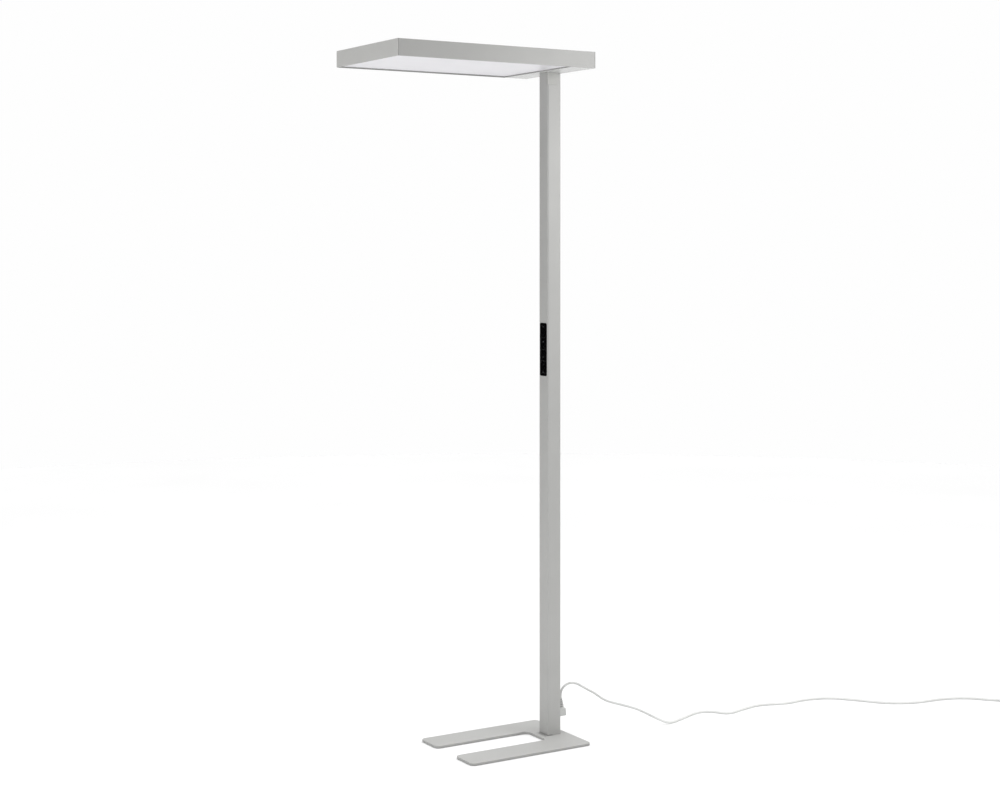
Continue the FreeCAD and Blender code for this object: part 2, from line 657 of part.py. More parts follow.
def relief_radius(share):
    return RELIEF_BOTTOM_RADIUS + (RELIEF_TOP_RADIUS - RELIEF_BOTTOM_RADIUS) * share


def strain_relief():
    """Tapered sleeve with grooves round it, its foot sunk in the connector's top."""
    top = CONNECTOR_TOP + RELIEF_LENGTH
    foot = CONNECTOR_TOP - CONNECTOR_ROUND
    sleeve = cone(RELIEF_BOTTOM_RADIUS, RELIEF_TOP_RADIUS, V(RELIEF_X, 0, CONNECTOR_TOP),
                  V(RELIEF_X, 0, top))
    sleeve = union([sleeve, rod(RELIEF_BOTTOM_RADIUS, V(RELIEF_X, 0, foot),
                                V(RELIEF_X, 0, CONNECTOR_TOP))])
    pitch = RELIEF_LENGTH / (2 * RELIEF_RIBS + 1)
    for n in range(RELIEF_RIBS):
        low = CONNECTOR_TOP + (2 * n + 1) * pitch
        radius = relief_radius((2 * n + 1.5) * pitch / RELIEF_LENGTH)
        ring = rod(radius + RELIEF_GROOVE, V(RELIEF_X, 0, low), V(RELIEF_X, 0, low + pitch))
        core = rod(radius - RELIEF_GROOVE, V(RELIEF_X, 0, low), V(RELIEF_X, 0, low + pitch))
        sleeve = sleeve.cut(ring.cut(core))
    return sleeve


# ---------------------------------------------------------------- neck
def neck_bolt_places():
    x = SPIGOT_X / 2 - SPIGOT_WALL / 2
    y = SPIGOT_Y / 2 - SPIGOT_WALL / 2
    return [(-x, -y), (-x, y), (x, -y), (x, y)]


def neck_bolt(x, y):
    return pan_screw(NECK_BOLT_HEAD, NECK_BOLT_RADIUS, V(x, y, BRACKET_TOP),
                     V(x, y, BRACKET_TOP - NECK_BOLT_LENGTH), NECK_BOLT_RADIUS)


def neck_spigot():
    """Thick-walled sleeve in the post's top end; the head's bracket is bolted on it."""
    piece = upright(SPIGOT_X, SPIGOT_Y, SPIGOT_BOTTOM, DIFFUSER_Z)
    piece = rounded(piece, POST_CORNER - POST_WALL + SPIGOT_PLAY, UP)
    piece = piece.cut(upright(SPIGOT_BORE_X, SPIGOT_BORE_Y, SPIGOT_BOTTOM - OVERCUT,
                              DIFFUSER_Z + OVERCUT))
    for x, y in neck_bolt_places():
        piece = piece.cut(neck_bolt(x, y))
    for piece_screw in neck_screws():
        piece = piece.cut(piece_screw)
    return piece


def neck_plate():
    """Thin angle round the post's corner under the head, over the neck screws."""
    outer_x = FRONT_FACE - NECK_PLATE_SHEET
    outer_y = SIDE_FACE - NECK_PLATE_SHEET
    top = HEAD_BOTTOM
    low = top - NECK_PLATE_HEIGHT
    side = block(outer_x, FRONT_FACE + NECK_PLATE_SIDE, outer_y, SIDE_FACE, low, top)
    front = block(outer_x, FRONT_FACE, outer_y, SIDE_FACE + NECK_PLATE_FRONT, low, top)
    corner = block(outer_x, FRONT_FACE + POST_CORNER, outer_y, SIDE_FACE + POST_CORNER, low, top)
    tube = rounded(upright(POST_X, POST_Y, low - OVERCUT, top + OVERCUT), POST_CORNER, UP)
    return union([side, front, corner]).cut(tube)


# ---------------------------------------------------------------- head frame
def rail_section():
    """Section of a rail: x inwards from its outer face, z up from its lower edge."""
    low = COVER_SHEET
    high = TOP_LEDGE_Z - HEAD_BOTTOM
    reach = RAIL_WALL + LEDGE_REACH
    points = [(RAIL_EDGE, 0), (RAIL_WALL, 0), (RAIL_WALL, low), (reach, low),
              (reach, low + LEDGE_THICK), (RAIL_WALL, low + LEDGE_THICK), (RAIL_WALL, high),
              (reach, high), (reach, high + LEDGE_THICK), (RAIL_WALL, high + LEDGE_THICK),
              (RAIL_WALL, HEAD_DEPTH), (RAIL_EDGE, HEAD_DEPTH), (0, HEAD_DEPTH - RAIL_EDGE),
              (0, RAIL_EDGE)]
    return [V(x, 0, z) for x, z in points]


def mitred_rail(length):
    """Rail along Y from 0 to its length, outer face at x = 0, both ends cut at 45 degrees."""
    section = rail_section()
    bar = Part.Face(Part.makePolygon(section + [section[0]])).extrude(V(0, length, 0))
    reach = RAIL_WALL + LEDGE_REACH + OVERCUT
    low = -OVERCUT
    for end, way in ((0.0, 1), (length, -1)):
        past = end + 2 * way * low
        wedge = [V(low, end + way * low, low), V(low, past, low), V(reach, past, low),
                 V(reach, end + way * reach, low)]
        tool = Part.Face(Part.makePolygon(wedge + [wedge[0]]))
        tool = tool.extrude(V(0, 0, HEAD_DEPTH + 2 * OVERCUT))
        bar = bar.cut(tool)
    return bar


def placed_rail(length, corner, degrees):
    """Mitred rail turned about Z and moved to a corner of the head."""
    bar = mitred_rail(length)
    bar.rotate(V(0, 0, 0), UP, degrees)
    bar.translate(corner)
    return bar


def front_rail():
    return placed_rail(HEAD_WIDTH, V(HEAD_FRONT, -HALF_WIDTH, HEAD_BOTTOM), 0)


def back_rail():
    rail = placed_rail(HEAD_WIDTH, V(HEAD_BACK, HALF_WIDTH, HEAD_BOTTOM), 180)
    for x, y in cover_screw_places():
        rail = rail.cut(cover_screw(x, y))
    return rail


def near_rail():
    return placed_rail(HEAD_LENGTH, V(HEAD_BACK, -HALF_WIDTH, HEAD_BOTTOM), 90)


def far_rail():
    return placed_rail(HEAD_LENGTH, V(HEAD_FRONT, HALF_WIDTH, HEAD_BOTTOM), -90)


def lead_hole_places():
    """Where the LED leads pass through the crossbar, beside the driver."""
    z = BRACKET_TOP + DRIVER_HEIGHT / 2
    return [V(0, DRIVER_Y + LEAD_INSET, z), V(0, DRIVER_Y + DRIVER_LENGTH - LEAD_INSET, z)]


def crossbar():
    """Wall across the head with a ledge on each side, notched round the rails' ledges."""
    wall = block(CHAMBER_BACK, BOX_FRONT, -INNER_HALF, INNER_HALF, LEDGE_Z, TOP_SHEET_Z)
    ledge = block(CHAMBER_BACK - LEDGE_REACH, BOX_FRONT + LEDGE_REACH, -INNER_HALF, INNER_HALF,
                  LEDGE_Z, DIFFUSER_Z)
    bar = union([wall, ledge])
    for side in (-1, 1):
        tip = side * (INNER_HALF - LEDGE_REACH)
        wall_face = side * (INNER_HALF + OVERCUT)
        for z in (LEDGE_Z, TOP_LEDGE_Z):
            notch = block(CHAMBER_BACK - LEDGE_REACH - OVERCUT, BOX_FRONT + LEDGE_REACH + OVERCUT,
                          min(tip, wall_face), max(tip, wall_face), z, z + LEDGE_THICK)
            bar = bar.cut(notch)
    for spot in lead_hole_places():
        bar = bar.cut(rod(LEAD_RADIUS, V(CHAMBER_BACK - OVERCUT, spot.y, spot.z),
                          V(BOX_FRONT + OVERCUT, spot.y, spot.z)))
    for x, y in cover_screw_places():
        bar = bar.cut(cover_screw(x, y))
    return bar


def corner_cleats():
    """Angle in each corner of the frame, against both rails."""
    low = HEAD_BOTTOM + CLEAT_RISE
    found = []
    for sx, wall_x in ((1, HEAD_FRONT + RAIL_WALL), (-1, HEAD_BACK - RAIL_WALL)):
        for sy in (-1, 1):
            wall_y = sy * INNER_HALF
            x_leg = [wall_x, wall_x + sx * CLEAT_LEG]
            y_thin = [wall_y, wall_y - sy * CLEAT_THICK]
            x_thin = [wall_x, wall_x + sx * CLEAT_THICK]
            y_leg = [wall_y, wall_y - sy * CLEAT_LEG]
            one = block(min(x_leg), max(x_leg), min(y_thin), max(y_thin), low, low + CLEAT_HEIGHT)
            two = block(min(x_thin), max(x_thin), min(y_leg), max(y_leg), low, low + CLEAT_HEIGHT)
            cleat = union([one, two])
            for grub in corner_grubs(wall_x, wall_y, sx, sy):
                cleat = cleat.cut(grub)
            found.append(cleat)
    return found


def corner_grubs(wall_x, wall_y, sx, sy):
    """Two grub screws in a cleat, one against each rail."""
    z = HEAD_BOTTOM + CLEAT_RISE + CLEAT_HEIGHT / 2
    one = rod(GRUB_RADIUS, V(wall_x + sx * GRUB_INSET, wall_y, z),
              V(wall_x + sx * GRUB_INSET, wall_y - sy * GRUB_LENGTH, z))
    two = rod(GRUB_RADIUS, V(wall_x, wall_y - sy * GRUB_INSET, z),
              V(wall_x + sx * GRUB_LENGTH, wall_y - sy * GRUB_INSET, z))
    return [one, two]


def cleat_grubs():
    found = []
    for sx, wall_x in ((1, HEAD_FRONT + RAIL_WALL), (-1, HEAD_BACK - RAIL_WALL)):
        for sy in (-1, 1):
            found += corner_grubs(wall_x, sy * INNER_HALF, sx, sy)
    return found


# ---------------------------------------------------------------- light engine
def sheet(z, thick, front=CHAMBER_FRONT, back=CHAMBER_BACK):
    """Flat sheet with play to the walls round it."""
    half = INNER_HALF - PANEL_PLAY
    return block(front + PANEL_PLAY, back - PANEL_PLAY, -half, half, z, z + thick)


def edge_strips():
    """Light strips on the long rails, at the light guide's edges."""
    found = []
    start = CHAMBER_FRONT + PANEL_PLAY
    end = CHAMBER_BACK - PANEL_PLAY
    for side in (-1, 1):
        wall = side * INNER_HALF
        face = wall - side * STRIP_BOARD
        glow = face - side * STRIP_LED
        board = block(start, end, min(wall, face), max(wall, face), GUIDE_Z, REFLECTOR_Z)
        row = block(start, end, min(face, glow), max(face, glow),
                    GUIDE_Z + STRIP_ROW_MARGIN, REFLECTOR_Z - STRIP_ROW_MARGIN)
        found.append(union([board, row]))
    return found


def light_guide():
    half = INNER_HALF - STRIP_BOARD - STRIP_LED - STRIP_GAP
    return block(CHAMBER_FRONT + PANEL_PLAY, CHAMBER_BACK - PANEL_PLAY, -half, half, GUIDE_Z,
                 REFLECTOR_Z)


def light_tray():
    """Sheet on the reflector with side flanges up to the rails' top ledges."""
    floor = sheet(TRAY_Z, TRAY_SHEET)
    front = CHAMBER_FRONT + CLEAT_LEG + CLEAT_THICK
    back = CHAMBER_BACK - CLEAT_THICK
    walls = []
    for side in (-1, 1):
        outer = side * (INNER_HALF - PANEL_PLAY)
        inner = outer - side * TRAY_SHEET
        walls.append(block(front, back, min(outer, inner), max(outer, inner), TRAY_Z, TOP_LEDGE_Z))
    return union([floor] + walls)


def uplight_boards():
    """Two LED boards on the tray, each with a raised row of LEDs."""
    top = TRAY_Z + TRAY_SHEET
    found = []
    for side in (-1, 1):
        y = side * BOARD_SPACING / 2
        board = upright(BOARD_LENGTH, BOARD_WIDTH, top, top + BOARD_THICK, x=CHAMBER_MIDDLE, y=y)
        row = upright(BOARD_LENGTH, LED_ROW_WIDTH, top + BOARD_THICK,
                      top + BOARD_THICK + LED_ROW_HEIGHT, x=CHAMBER_MIDDLE, y=y)
        found.append(union([board, row]))
    return found


def top_cover():
    """Sheet on the top ledges with the uplight window."""
    cover = sheet(TOP_SHEET_Z, TOP_SHEET, CHAMBER_FRONT, BOX_BACK)
    window = upright(WINDOW_LENGTH, WINDOW_WIDTH, TOP_SHEET_Z - OVERCUT,
                     TOP_SHEET_Z + TOP_SHEET + OVERCUT, x=CHAMBER_MIDDLE)
    return cover.cut(rounded(window, WINDOW_CORNER, UP))


def uplight_pane():
    return upright(WINDOW_LENGTH + 2 * WINDOW_OVERLAP, WINDOW_WIDTH + 2 * WINDOW_OVERLAP,
                   PANE_Z, TOP_SHEET_Z, x=CHAMBER_MIDDLE)


def pane_clips():
    """Folded clips under the cover that carry the pane at its long edges."""
    edge = WINDOW_WIDTH / 2 + WINDOW_OVERLAP
    low = PANE_Z - CLIP_SHEET
    found = []
    reach = WINDOW_LENGTH / 2 - CLIP_INSET
    for x in (CHAMBER_MIDDLE - reach, CHAMBER_MIDDLE + reach):
        for side in (-1, 1):
            lip = upright(CLIP_LENGTH, WINDOW_OVERLAP, low, PANE_Z, x=x,
                          y=side * (edge - WINDOW_OVERLAP / 2))
            web = upright(CLIP_LENGTH, CLIP_SHEET, low, TOP_SHEET_Z, x=x,
                          y=side * (edge + CLIP_SHEET / 2))
            foot = upright(CLIP_LENGTH, WINDOW_OVERLAP, TOP_SHEET_Z - CLIP_SHEET, TOP_SHEET_Z,
                           x=x, y=side * (edge + CLIP_SHEET + WINDOW_OVERLAP / 2))
            found.append(union([lip, web, foot]))
    return found


# ---------------------------------------------------------------- back box
def cover_screw_places():
    """Cover screws at the four corners of the back box, through the ledges beside them."""
    y = INNER_HALF - COVER_SCREW_INSET
    inset = LEDGE_REACH / 2
    return [(x, s * y) for x in (BOX_FRONT + inset, BOX_BACK - inset) for s in (-1, 1)]


def cover_screw(x, y):
    return screw(COVER_SCREW_HEAD, COVER_SCREW_RADIUS, V(x, y, HEAD_BOTTOM),
                 V(x, y, DIFFUSER_Z), COVER_SCREW_HEAD - COVER_SCREW_RADIUS)


def box_cover():
    """Sheet over the crossbar and the back box, open round the neck."""
    cover = sheet(HEAD_BOTTOM, COVER_SHEET, CHAMBER_BACK - LEDGE_REACH, BOX_BACK)
    cover = cover.cut(upright(POST_X + 2 * PANEL_PLAY, POST_Y + 2 * PANEL_PLAY,
                              HEAD_BOTTOM - OVERCUT, LEDGE_Z + OVERCUT))
    for x, y in cover_screw_places():
        cover = cover.cut(cover_screw(x, y))
    return cover


def bracket_studs():
    """Studs on the crossbar and the back rail, with their nuts on the bracket's flanges."""
    z = BRACKET_TOP + STUD_RISE
    found = []
    for wall, way in ((BOX_FRONT, 1), (BOX_BACK, -1)):
        for y in (-STUD_SPACING / 2, STUD_SPACING / 2):
            root = V(wall, y, z)
            face = root + V(way * (PANEL_PLAY + BRACKET_SHEET), 0, 0)
            stud = rod(STUD_RADIUS, root, root + V(way * STUD_LENGTH, 0, 0))
            nut = rod(NUT_RADIUS, face, face + V(way * NUT_HEIGHT, 0, 0))
            found.append(union([stud, nut]))
    return found


def head_bracket():
    """Channel across the back box, bolted on the spigot and to the walls in front and behind."""
    front = BOX_FRONT + PANEL_PLAY
    back = BOX_BACK - PANEL_PLAY
    floor = block(front, back, -BRACKET_HALF, BRACKET_HALF, DIFFUSER_Z, BRACKET_TOP)
    top = BRACKET_TOP + BRACKET_FLANGE
    reach = BRACKET_FLANGE_LENGTH / 2
    walls = [block(front, front + BRACKET_SHEET, -reach, reach, DIFFUSER_Z, top),
             block(back - BRACKET_SHEET, back, -reach, reach, DIFFUSER_Z, top)]
    piece = union([floor] + walls)
    piece = piece.cut(upright(SPIGOT_BORE_X, SPIGOT_BORE_Y, DIFFUSER_Z - OVERCUT,
                              BRACKET_TOP + OVERCUT))
    for x, y in neck_bolt_places():
        piece = piece.cut(neck_bolt(x, y))
    for stud in bracket_studs():
        piece = piece.cut(stud)
    for driver_screw in driver_screws():
        piece = piece.cut(driver_screw)
    return piece


def driver_screws():
    found = []
    for y in (DRIVER_Y - EAR_LENGTH / 2, DRIVER_Y + DRIVER_LENGTH + EAR_LENGTH / 2):
        seat = V(BOX_MIDDLE, y, BRACKET_TOP + EAR_THICK)
        found.append(pan_screw(DRIVER_SCREW_HEAD, DRIVER_SCREW_RADIUS, seat,
                               V(BOX_MIDDLE, y, DIFFUSER_Z), DRIVER_SCREW_RADIUS))
    return found


def led_driver():
    """Driver housing with a screw ear at each end."""
    y1 = DRIVER_Y + DRIVER_LENGTH
    top = BRACKET_TOP + DRIVER_HEIGHT
    x0 = BOX_MIDDLE - DRIVER_WIDTH / 2
    x1 = BOX_MIDDLE + DRIVER_WIDTH / 2
    body = rounded(block(x0, x1, DRIVER_Y, y1, BRACKET_TOP, top), DRIVER_ROUND, UP)
    ears = block(x0 + EAR_INSET, x1 - EAR_INSET, DRIVER_Y - EAR_LENGTH, y1 + EAR_LENGTH,
                 BRACKET_TOP, BRACKET_TOP + EAR_THICK)
    driver = union([body, ears])
    for driver_screw in driver_screws():
        driver = driver.cut(driver_screw)
    return driver


def terminal_block():
    """Block over the bracket's cable hole where the cables end."""
    low = BRACKET_TOP
    body = upright(TERMINAL_WIDTH, TERMINAL_LENGTH, low, low + TERMINAL_HEIGHT)
    for x, y in neck_bolt_places():
        body = body.cut(rod(NECK_BOLT_HEAD + PANEL_PLAY, V(x, y, low - OVERCUT),
                            V(x, y, low + NECK_BOLT_RADIUS + PANEL_PLAY)))
    return body


def led_leads():
    """Leads from the driver through the crossbar, down to the tray."""
    found = []
    for spot in lead_hole_places():
        start = V(BOX_MIDDLE - DRIVER_WIDTH / 2, spot.y, spot.z)
        end = V(CHAMBER_BACK - LEAD_REACH, spot.y, spot.z)
        drop = V(end.x, end.y, TRAY_Z + TRAY_SHEET)
        found.append(union([rod(LEAD_RADIUS, start, end), Part.makeSphere(LEAD_RADIUS, end),
                            rod(LEAD_RADIUS, end, drop)]))
    return found


def driver_lead():
    z = BRACKET_TOP + TERMINAL_HEIGHT / 2
    return rod(LEAD_RADIUS, V(0, TERMINAL_LENGTH / 2, z), V(0, DRIVER_Y, z))


def supply_cable():
    return rod(CABLE_RADIUS, V(CABLE_X, CABLE_Y, SHROUD_TOP), V(CABLE_X, CABLE_Y, BRACKET_TOP))


def signal_cable():
    start = STRIP_Z + SOCKET_RISE + SOCKET_HEIGHT / 2
    return rod(SIGNAL_RADIUS, V(SIGNAL_X, SIGNAL_Y, start), V(SIGNAL_X, SIGNAL_Y, BRACKET_TOP))


# ---------------------------------------------------------------- mains lead
def tangent_path(points):
    """Wire of straight runs joined by tangent arcs, each as large as its two runs allow."""
    edges = []
    radii = []
    last = points[0]
    for before, corner, after in zip(points, points[1:], points[2:]):
        back = (before - corner).normalize()
        ahead = (after - corner).normalize()
        reach = ARC_SHARE * min((before - corner).Length, (after - corner).Length)
        half_turn = (math.pi - back.getAngle(ahead)) / 2
        radius = reach / math.tan(half_turn)
        radii.append(radius)
        middle = (back + ahead).normalize()
        arc_start = corner + back * reach
        arc_end = corner + ahead * reach
        top = corner + middle * (math.hypot(radius, reach) - radius)
        edges.append(Part.LineSegment(last, arc_start).toShape())
        edges.append(Part.Arc(arc_start, top, arc_end).toShape())
        last = arc_end
    edges.append(Part.LineSegment(last, points[-1]).toShape())
    return Part.Wire(edges), radii


def lead_tube(name, route):
    """Round tube along a route, with its figures printed."""
    points = [V(*p) for p in route]
    path, radii = tangent_path(points)
    ring = Part.makeCircle(CORD_RADIUS, points[0], points[1] - points[0])
    tube = path.makePipeShell([Part.Wire(ring)], True, False)
    expected = path.Length * math.pi * CORD_RADIUS ** 2
    print(name, "length", round(path.Length, 1), "volume ratio", round(tube.Volume / expected, 5),
          "solids", len(tube.Solids))
    print("  radii", [round(r) for r in radii])
    return tube.Solids[0]


def coil_half_span():
    return COIL_RINGS * CORD_DIAMETER / 2 + COIL_SLACK


def cord_coil():
    """Outer shape of the coiled stretch: a ring lying on its tie."""
    x, y = COIL_MIDDLE
    outer = COIL_TURN_RADIUS + coil_half_span()
    inner = COIL_TURN_RADIUS - coil_half_span()
    low = TIE_THICK
    high = low + COIL_LAYERS * CORD_DIAMETER + COIL_SLACK
    hole = rod(inner, V(x, y, low - OVERCUT), V(x, y, high + OVERCUT))
    ring = rod(outer, V(x, y, low), V(x, y, high)).cut(hole)
    return ring.makeFillet(COIL_ROUND, ring.Edges)


def coil_tie():
    """Strap round the coil."""
    x, y = COIL_MIDDLE
    outer = COIL_TURN_RADIUS + coil_half_span()
    inner = COIL_TURN_RADIUS - coil_half_span()
    high = TIE_THICK + COIL_LAYERS * CORD_DIAMETER + COIL_SLACK
    half = TIE_WIDTH / 2
    strap = block(x + inner - TIE_THICK, x + outer + TIE_THICK, y - half, y + half, 0,
                  high + TIE_THICK)
    strap = rounded(strap, COIL_ROUND, V(0, 1, 0))
    strap = strap.cut(cord_coil())
    strap.rotate(V(x, y, 0), UP, TIE_ANGLE)
    return strap


def plug_placed(shape):
    """Lay a plug piece, built along +X from its cord end, on the floor at the lead's end."""
    rise = math.atan((PLUG_RADIUS - PLUG_RELIEF_RADIUS) / (PLUG_RELIEF_LENGTH + PLUG_GRIP_LENGTH))
    placed = shape.copy()
    placed.rotate(V(0, 0, 0), V(0, 1, 0), -math.degrees(rise))
    placed.translate(V(*TAIL[-1]))
    return placed


def mains_plug():
    """Round plug body with a tapered grip and a strain relief, open for its pins."""
    s1 = PLUG_RELIEF_LENGTH
    s2 = s1 + PLUG_GRIP_LENGTH
    profile = [V(0, 0, 0), V(0, 0, PLUG_RELIEF_RADIUS), V(s1, 0, PLUG_NECK_RADIUS),
               V(s1, 0, PLUG_NECK_RADIUS + PLUG_STEP), V(s2, 0, PLUG_RADIUS),
               V(PLUG_LENGTH, 0, PLUG_RADIUS), V(PLUG_LENGTH, 0, 0)]
    face = Part.Face(Part.makePolygon(profile + [profile[0]]))
    body = face.revolve(V(0, 0, 0), V(1, 0, 0), 360)
    rims = [e for e in body.Edges if e.BoundBox.XLength < PICK and e.CenterOfMass.x > s2 - PICK]
    body = body.makeFillet(PLUG_ROUND, rims)
    for pin in bare_pins():
        body = body.cut(pin)
    return plug_placed(body)


def bare_pins():
    start = PLUG_LENGTH - PLUG_PIN_ROOT
    end = PLUG_LENGTH + PLUG_PIN_LENGTH
    half = PLUG_PIN_SPACING / 2
    pins = [rod(PLUG_PIN_RADIUS, V(start, y, 0), V(end, y, 0)) for y in (-half, half)]
    return [pin.makeFillet(PLUG_PIN_TIP,
                           [e for e in pin.Edges if e.CenterOfMass.x > end - PICK])
            for pin in pins]


# ---------------------------------------------------------------- all pieces
PIECES = {
    "base_plate": [base_plate()],
    "base_pads": base_pads(),
    "foot_block": [foot_block()],
    "foot_screws": [socketed(foot_screw(x, y), UP, FOOT_SCREW_RADIUS)
                    for x, y in foot_screw_places()],
    "post_screws": [socketed(one, FORWARD, SIDE_SCREW_RADIUS) for one in side_screws()],
    "post": [post()],
    "key_bezel": [key_bezel()],
    "control_board": [control_board()],
    "key_switches": key_switches(),
    "board_socket": [board_socket()],
    "board_screws": [socketed(board_screw(z), FORWARD, BOARD_SCREW_RADIUS)
                     for z in board_screw_heights()],
    "mains_inlet": [mains_inlet()],
    "inlet_blades": inlet_blades(),
    "supply_cable": [supply_cable()],
    "signal_cable": [signal_cable()],
    "neck_spigot": [neck_spigot()],
    "neck_screws": [socketed(one, V(0, 1, 0), NECK_SCREW_RADIUS) for one in neck_screws()],
    "neck_plate": [neck_plate()],
    "neck_bolts": [socketed(neck_bolt(x, y), DOWN, NECK_BOLT_RADIUS)
                   for x, y in neck_bolt_places()],
    "front_rail": [front_rail()],
    "back_rail": [back_rail()],
    "near_rail": [near_rail()],
    "far_rail": [far_rail()],
    "crossbar": [crossbar()],
    "corner_cleats": corner_cleats(),
    "cleat_grubs": cleat_grubs(),
    "downlight_diffuser": [sheet(DIFFUSER_Z, DIFFUSER_THICK)],
    "light_guide": [light_guide()],
    "edge_strips": edge_strips(),
    "reflector_sheet": [sheet(REFLECTOR_Z, REFLECTOR_THICK)],
    "light_tray": [light_tray()],
    "uplight_boards": uplight_boards(),
    "uplight_pane": [uplight_pane()],
    "pane_clips": pane_clips(),
    "top_cover": [top_cover()],
    "box_cover": [box_cover()],
    "cover_screws": [socketed(cover_screw(x, y), UP, COVER_SCREW_RADIUS)
                     for x, y in cover_screw_places()],
    "head_bracket": [head_bracket()],
    "bracket_studs": bracket_studs(),
    "led_driver": [led_driver()],
    "driver_screws": [socketed(one, DOWN, DRIVER_SCREW_RADIUS) for one in driver_screws()],
    "terminal_block": [terminal_block()],
    "driver_lead": [driver_lead()],
    "led_leads": led_leads(),
    "lead_connector": [lead_connector()],
    "mains_cord": [lead_tube("mains_cord", ROUTE)],
    "cord_coil": [cord_coil()],
    "coil_tie": [coil_tie()],
    "cord_tail": [lead_tube("cord_tail", TAIL)],
    "mains_plug": [mains_plug()],
    "plug_pins": [plug_placed(pin) for pin in bare_pins()],
}
for name, z in zip(KEY_NAMES, key_middles()):
    PIECES[name] = [key(z)]

os.makedirs("parts", exist_ok=True)
for name, solids in PIECES.items():
    shape = solids[0] if len(solids) == 1 else Part.makeCompound(solids)
    shape.exportStep("parts/" + name + ".step")
    box = shape.BoundBox
    print(name, len(shape.Solids), "valid" if shape.isValid() else "INVALID",
          [round(v, 1) for v in (box.XMin, box.YMin, box.ZMin, box.XMax, box.YMax, box.ZMax)])
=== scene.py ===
import math

import bmesh
import bpy
from mathutils import Matrix, Vector


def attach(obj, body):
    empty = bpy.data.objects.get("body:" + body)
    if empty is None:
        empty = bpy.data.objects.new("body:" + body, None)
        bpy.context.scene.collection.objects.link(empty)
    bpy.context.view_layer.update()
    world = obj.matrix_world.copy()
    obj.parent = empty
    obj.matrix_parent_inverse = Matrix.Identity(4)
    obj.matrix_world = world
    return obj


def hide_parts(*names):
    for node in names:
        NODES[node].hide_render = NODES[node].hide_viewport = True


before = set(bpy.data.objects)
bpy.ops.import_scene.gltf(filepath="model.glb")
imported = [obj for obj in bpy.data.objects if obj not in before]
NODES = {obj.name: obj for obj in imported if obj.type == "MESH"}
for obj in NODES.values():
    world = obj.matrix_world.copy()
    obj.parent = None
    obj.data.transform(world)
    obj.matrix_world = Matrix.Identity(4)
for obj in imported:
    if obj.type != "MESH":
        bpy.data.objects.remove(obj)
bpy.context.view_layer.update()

bl_info = {
    "name": "Office floor lamp",
    "version": (1, 0, 0),
    "blender": (4, 5, 0),
    "location": "View3D > Sidebar > Floor lamp",
    "description": "Dresses the packed floor lamp: mains lead, plug, key marks, finishes, studio",
    "category": "Object",
}

MM = 0.001

# Camera fitted to the photograph's vertical and horizontal edges.
CAMERA_PLACE = (-2.764, -4.229, 1.396)
CAMERA_TURN = -31.54
CAMERA_LENS = 63.26
CAMERA_SHIFT = -0.150

# Control points of the mains lead in mm: up out of the sleeve, an arch down to the floor, loose
# curves along it and, past the photograph's right edge, into the coil.
LEAD_ROUTE = [
    (36.5, 0, 104), (36.5, 0, 121), (45, -3, 137), (62, -7, 146), (83.5, -12, 143.5),
    (109, -18, 126.5), (136, -23, 112), (171.5, -31, 84), (215, -43, 71), (274, -57, 51),
    (327, -71, 20), (363, -85, 3.25), (441, -56, 3.25), (516, -24, 3.25), (558, -42, 3.25),
    (580, -93, 3.25), (659, -69, 3.25), (732, -56, 3.25), (807, -90, 3.25),
    (889, -82, 3.25), (968, -105, 3.25), (1021, -169, 3.25), (1072, -248, 3.25),
    (1160, -293, 3.25), (1248, -296, 3.25), (1329, -326, 3.25), (1389, -401, 3.25),
    (1451.7, -453.6, 4.0),
]
LEAD_TAIL = [(1500, -463.5, 8.2), (1520, -462, 5.0), (1541, -460, 4.3)]
COIL_MIDDLE = (1479.0, -421.0)
COIL_RINGS = (42.5, 36.0, 29.5)
COIL_LOW = 3.95
COIL_HIGH = 10.7
COIL_STEP = 20.0            # degrees between control points

# Mains plug, measured along its own axis from the lead's end.
PLUG_RELIEF = 24.0
PLUG_GRIP = 28.0
PLUG_FACE = 15.0
PLUG_RADIUS = 18.5
PLUG_RELIEF_RADIUS = 4.4
PLUG_NECK_RADIUS = 6.6

# Grooves round the connector's sleeve, in metres above the floor.
GROOVE_HEIGHTS = (0.0815, 0.0875, 0.0935, 0.0995)
GROOVE_HALF = 0.0015

# Where colour changes on a piece, in metres: middle of the head's outline, the painted shade on
# the frame's inner ledges round the light panel, and the mitred corners of the frame.
HEAD_MIDDLE = (-0.279, 0.0, 0.0)
# Painted shade on the frame's inner ledges and the cover's front edge round the light panel.
GAP_SHADE_MIDDLE = (-0.3174, 0.0, 1.90555)
GAP_SHADE_REACH = (0.2729, 0.1783, 0.00154)
SEAM_MIDDLE = (0.3116, 0.18, None)
SEAM_REACH = (0.0017, 0.0003, None)
# Painted highlight along the vertical corner edges of the frame's end faces.
EDGE_HIGHLIGHT_MIDDLE = (0.313, 0.1785, None)
EDGE_HIGHLIGHT_REACH = (0.0003, 0.0018, None)
# Painted shade on the base plate's side faces, and a painted contact shadow round the front of the
# post's foot.
RIM_SHADE_MIDDLE = (None, None, 0.003)
RIM_SHADE_REACH = (None, None, 0.0038)
# Painted contact shadow round the front of the post's foot.
FOOT_SHADOW_MIDDLE = (-0.0188, 0.0, 0.008)
FOOT_SHADOW_REACH = (0.0128, 0.0245, 0.003)

# How much the base colour is lightened or darkened there, in a sleeve's grooves, and on the lead
# where it hangs free of the floor: painted shade in the gap, on the base's sides, at the post's
# foot, in the grooves and on the hanging lead, a painted highlight on the frame's corner edges,
# and dark seams at the mitres.
GAP_SHADE_TINT = 0.65
SEAM_TINT = 0.8
EDGE_HIGHLIGHT_TINT = 1.25
RIM_SHADE_TINT = 0.74
FOOT_SHADOW_TINT = 0.7
GROOVE_SHADE_TINT = 0.55
HANGING_SHADE_TINT = 0.82
HANGING_SHADE_FROM = 0.008
HANGING_SHADE_FULL = 0.03

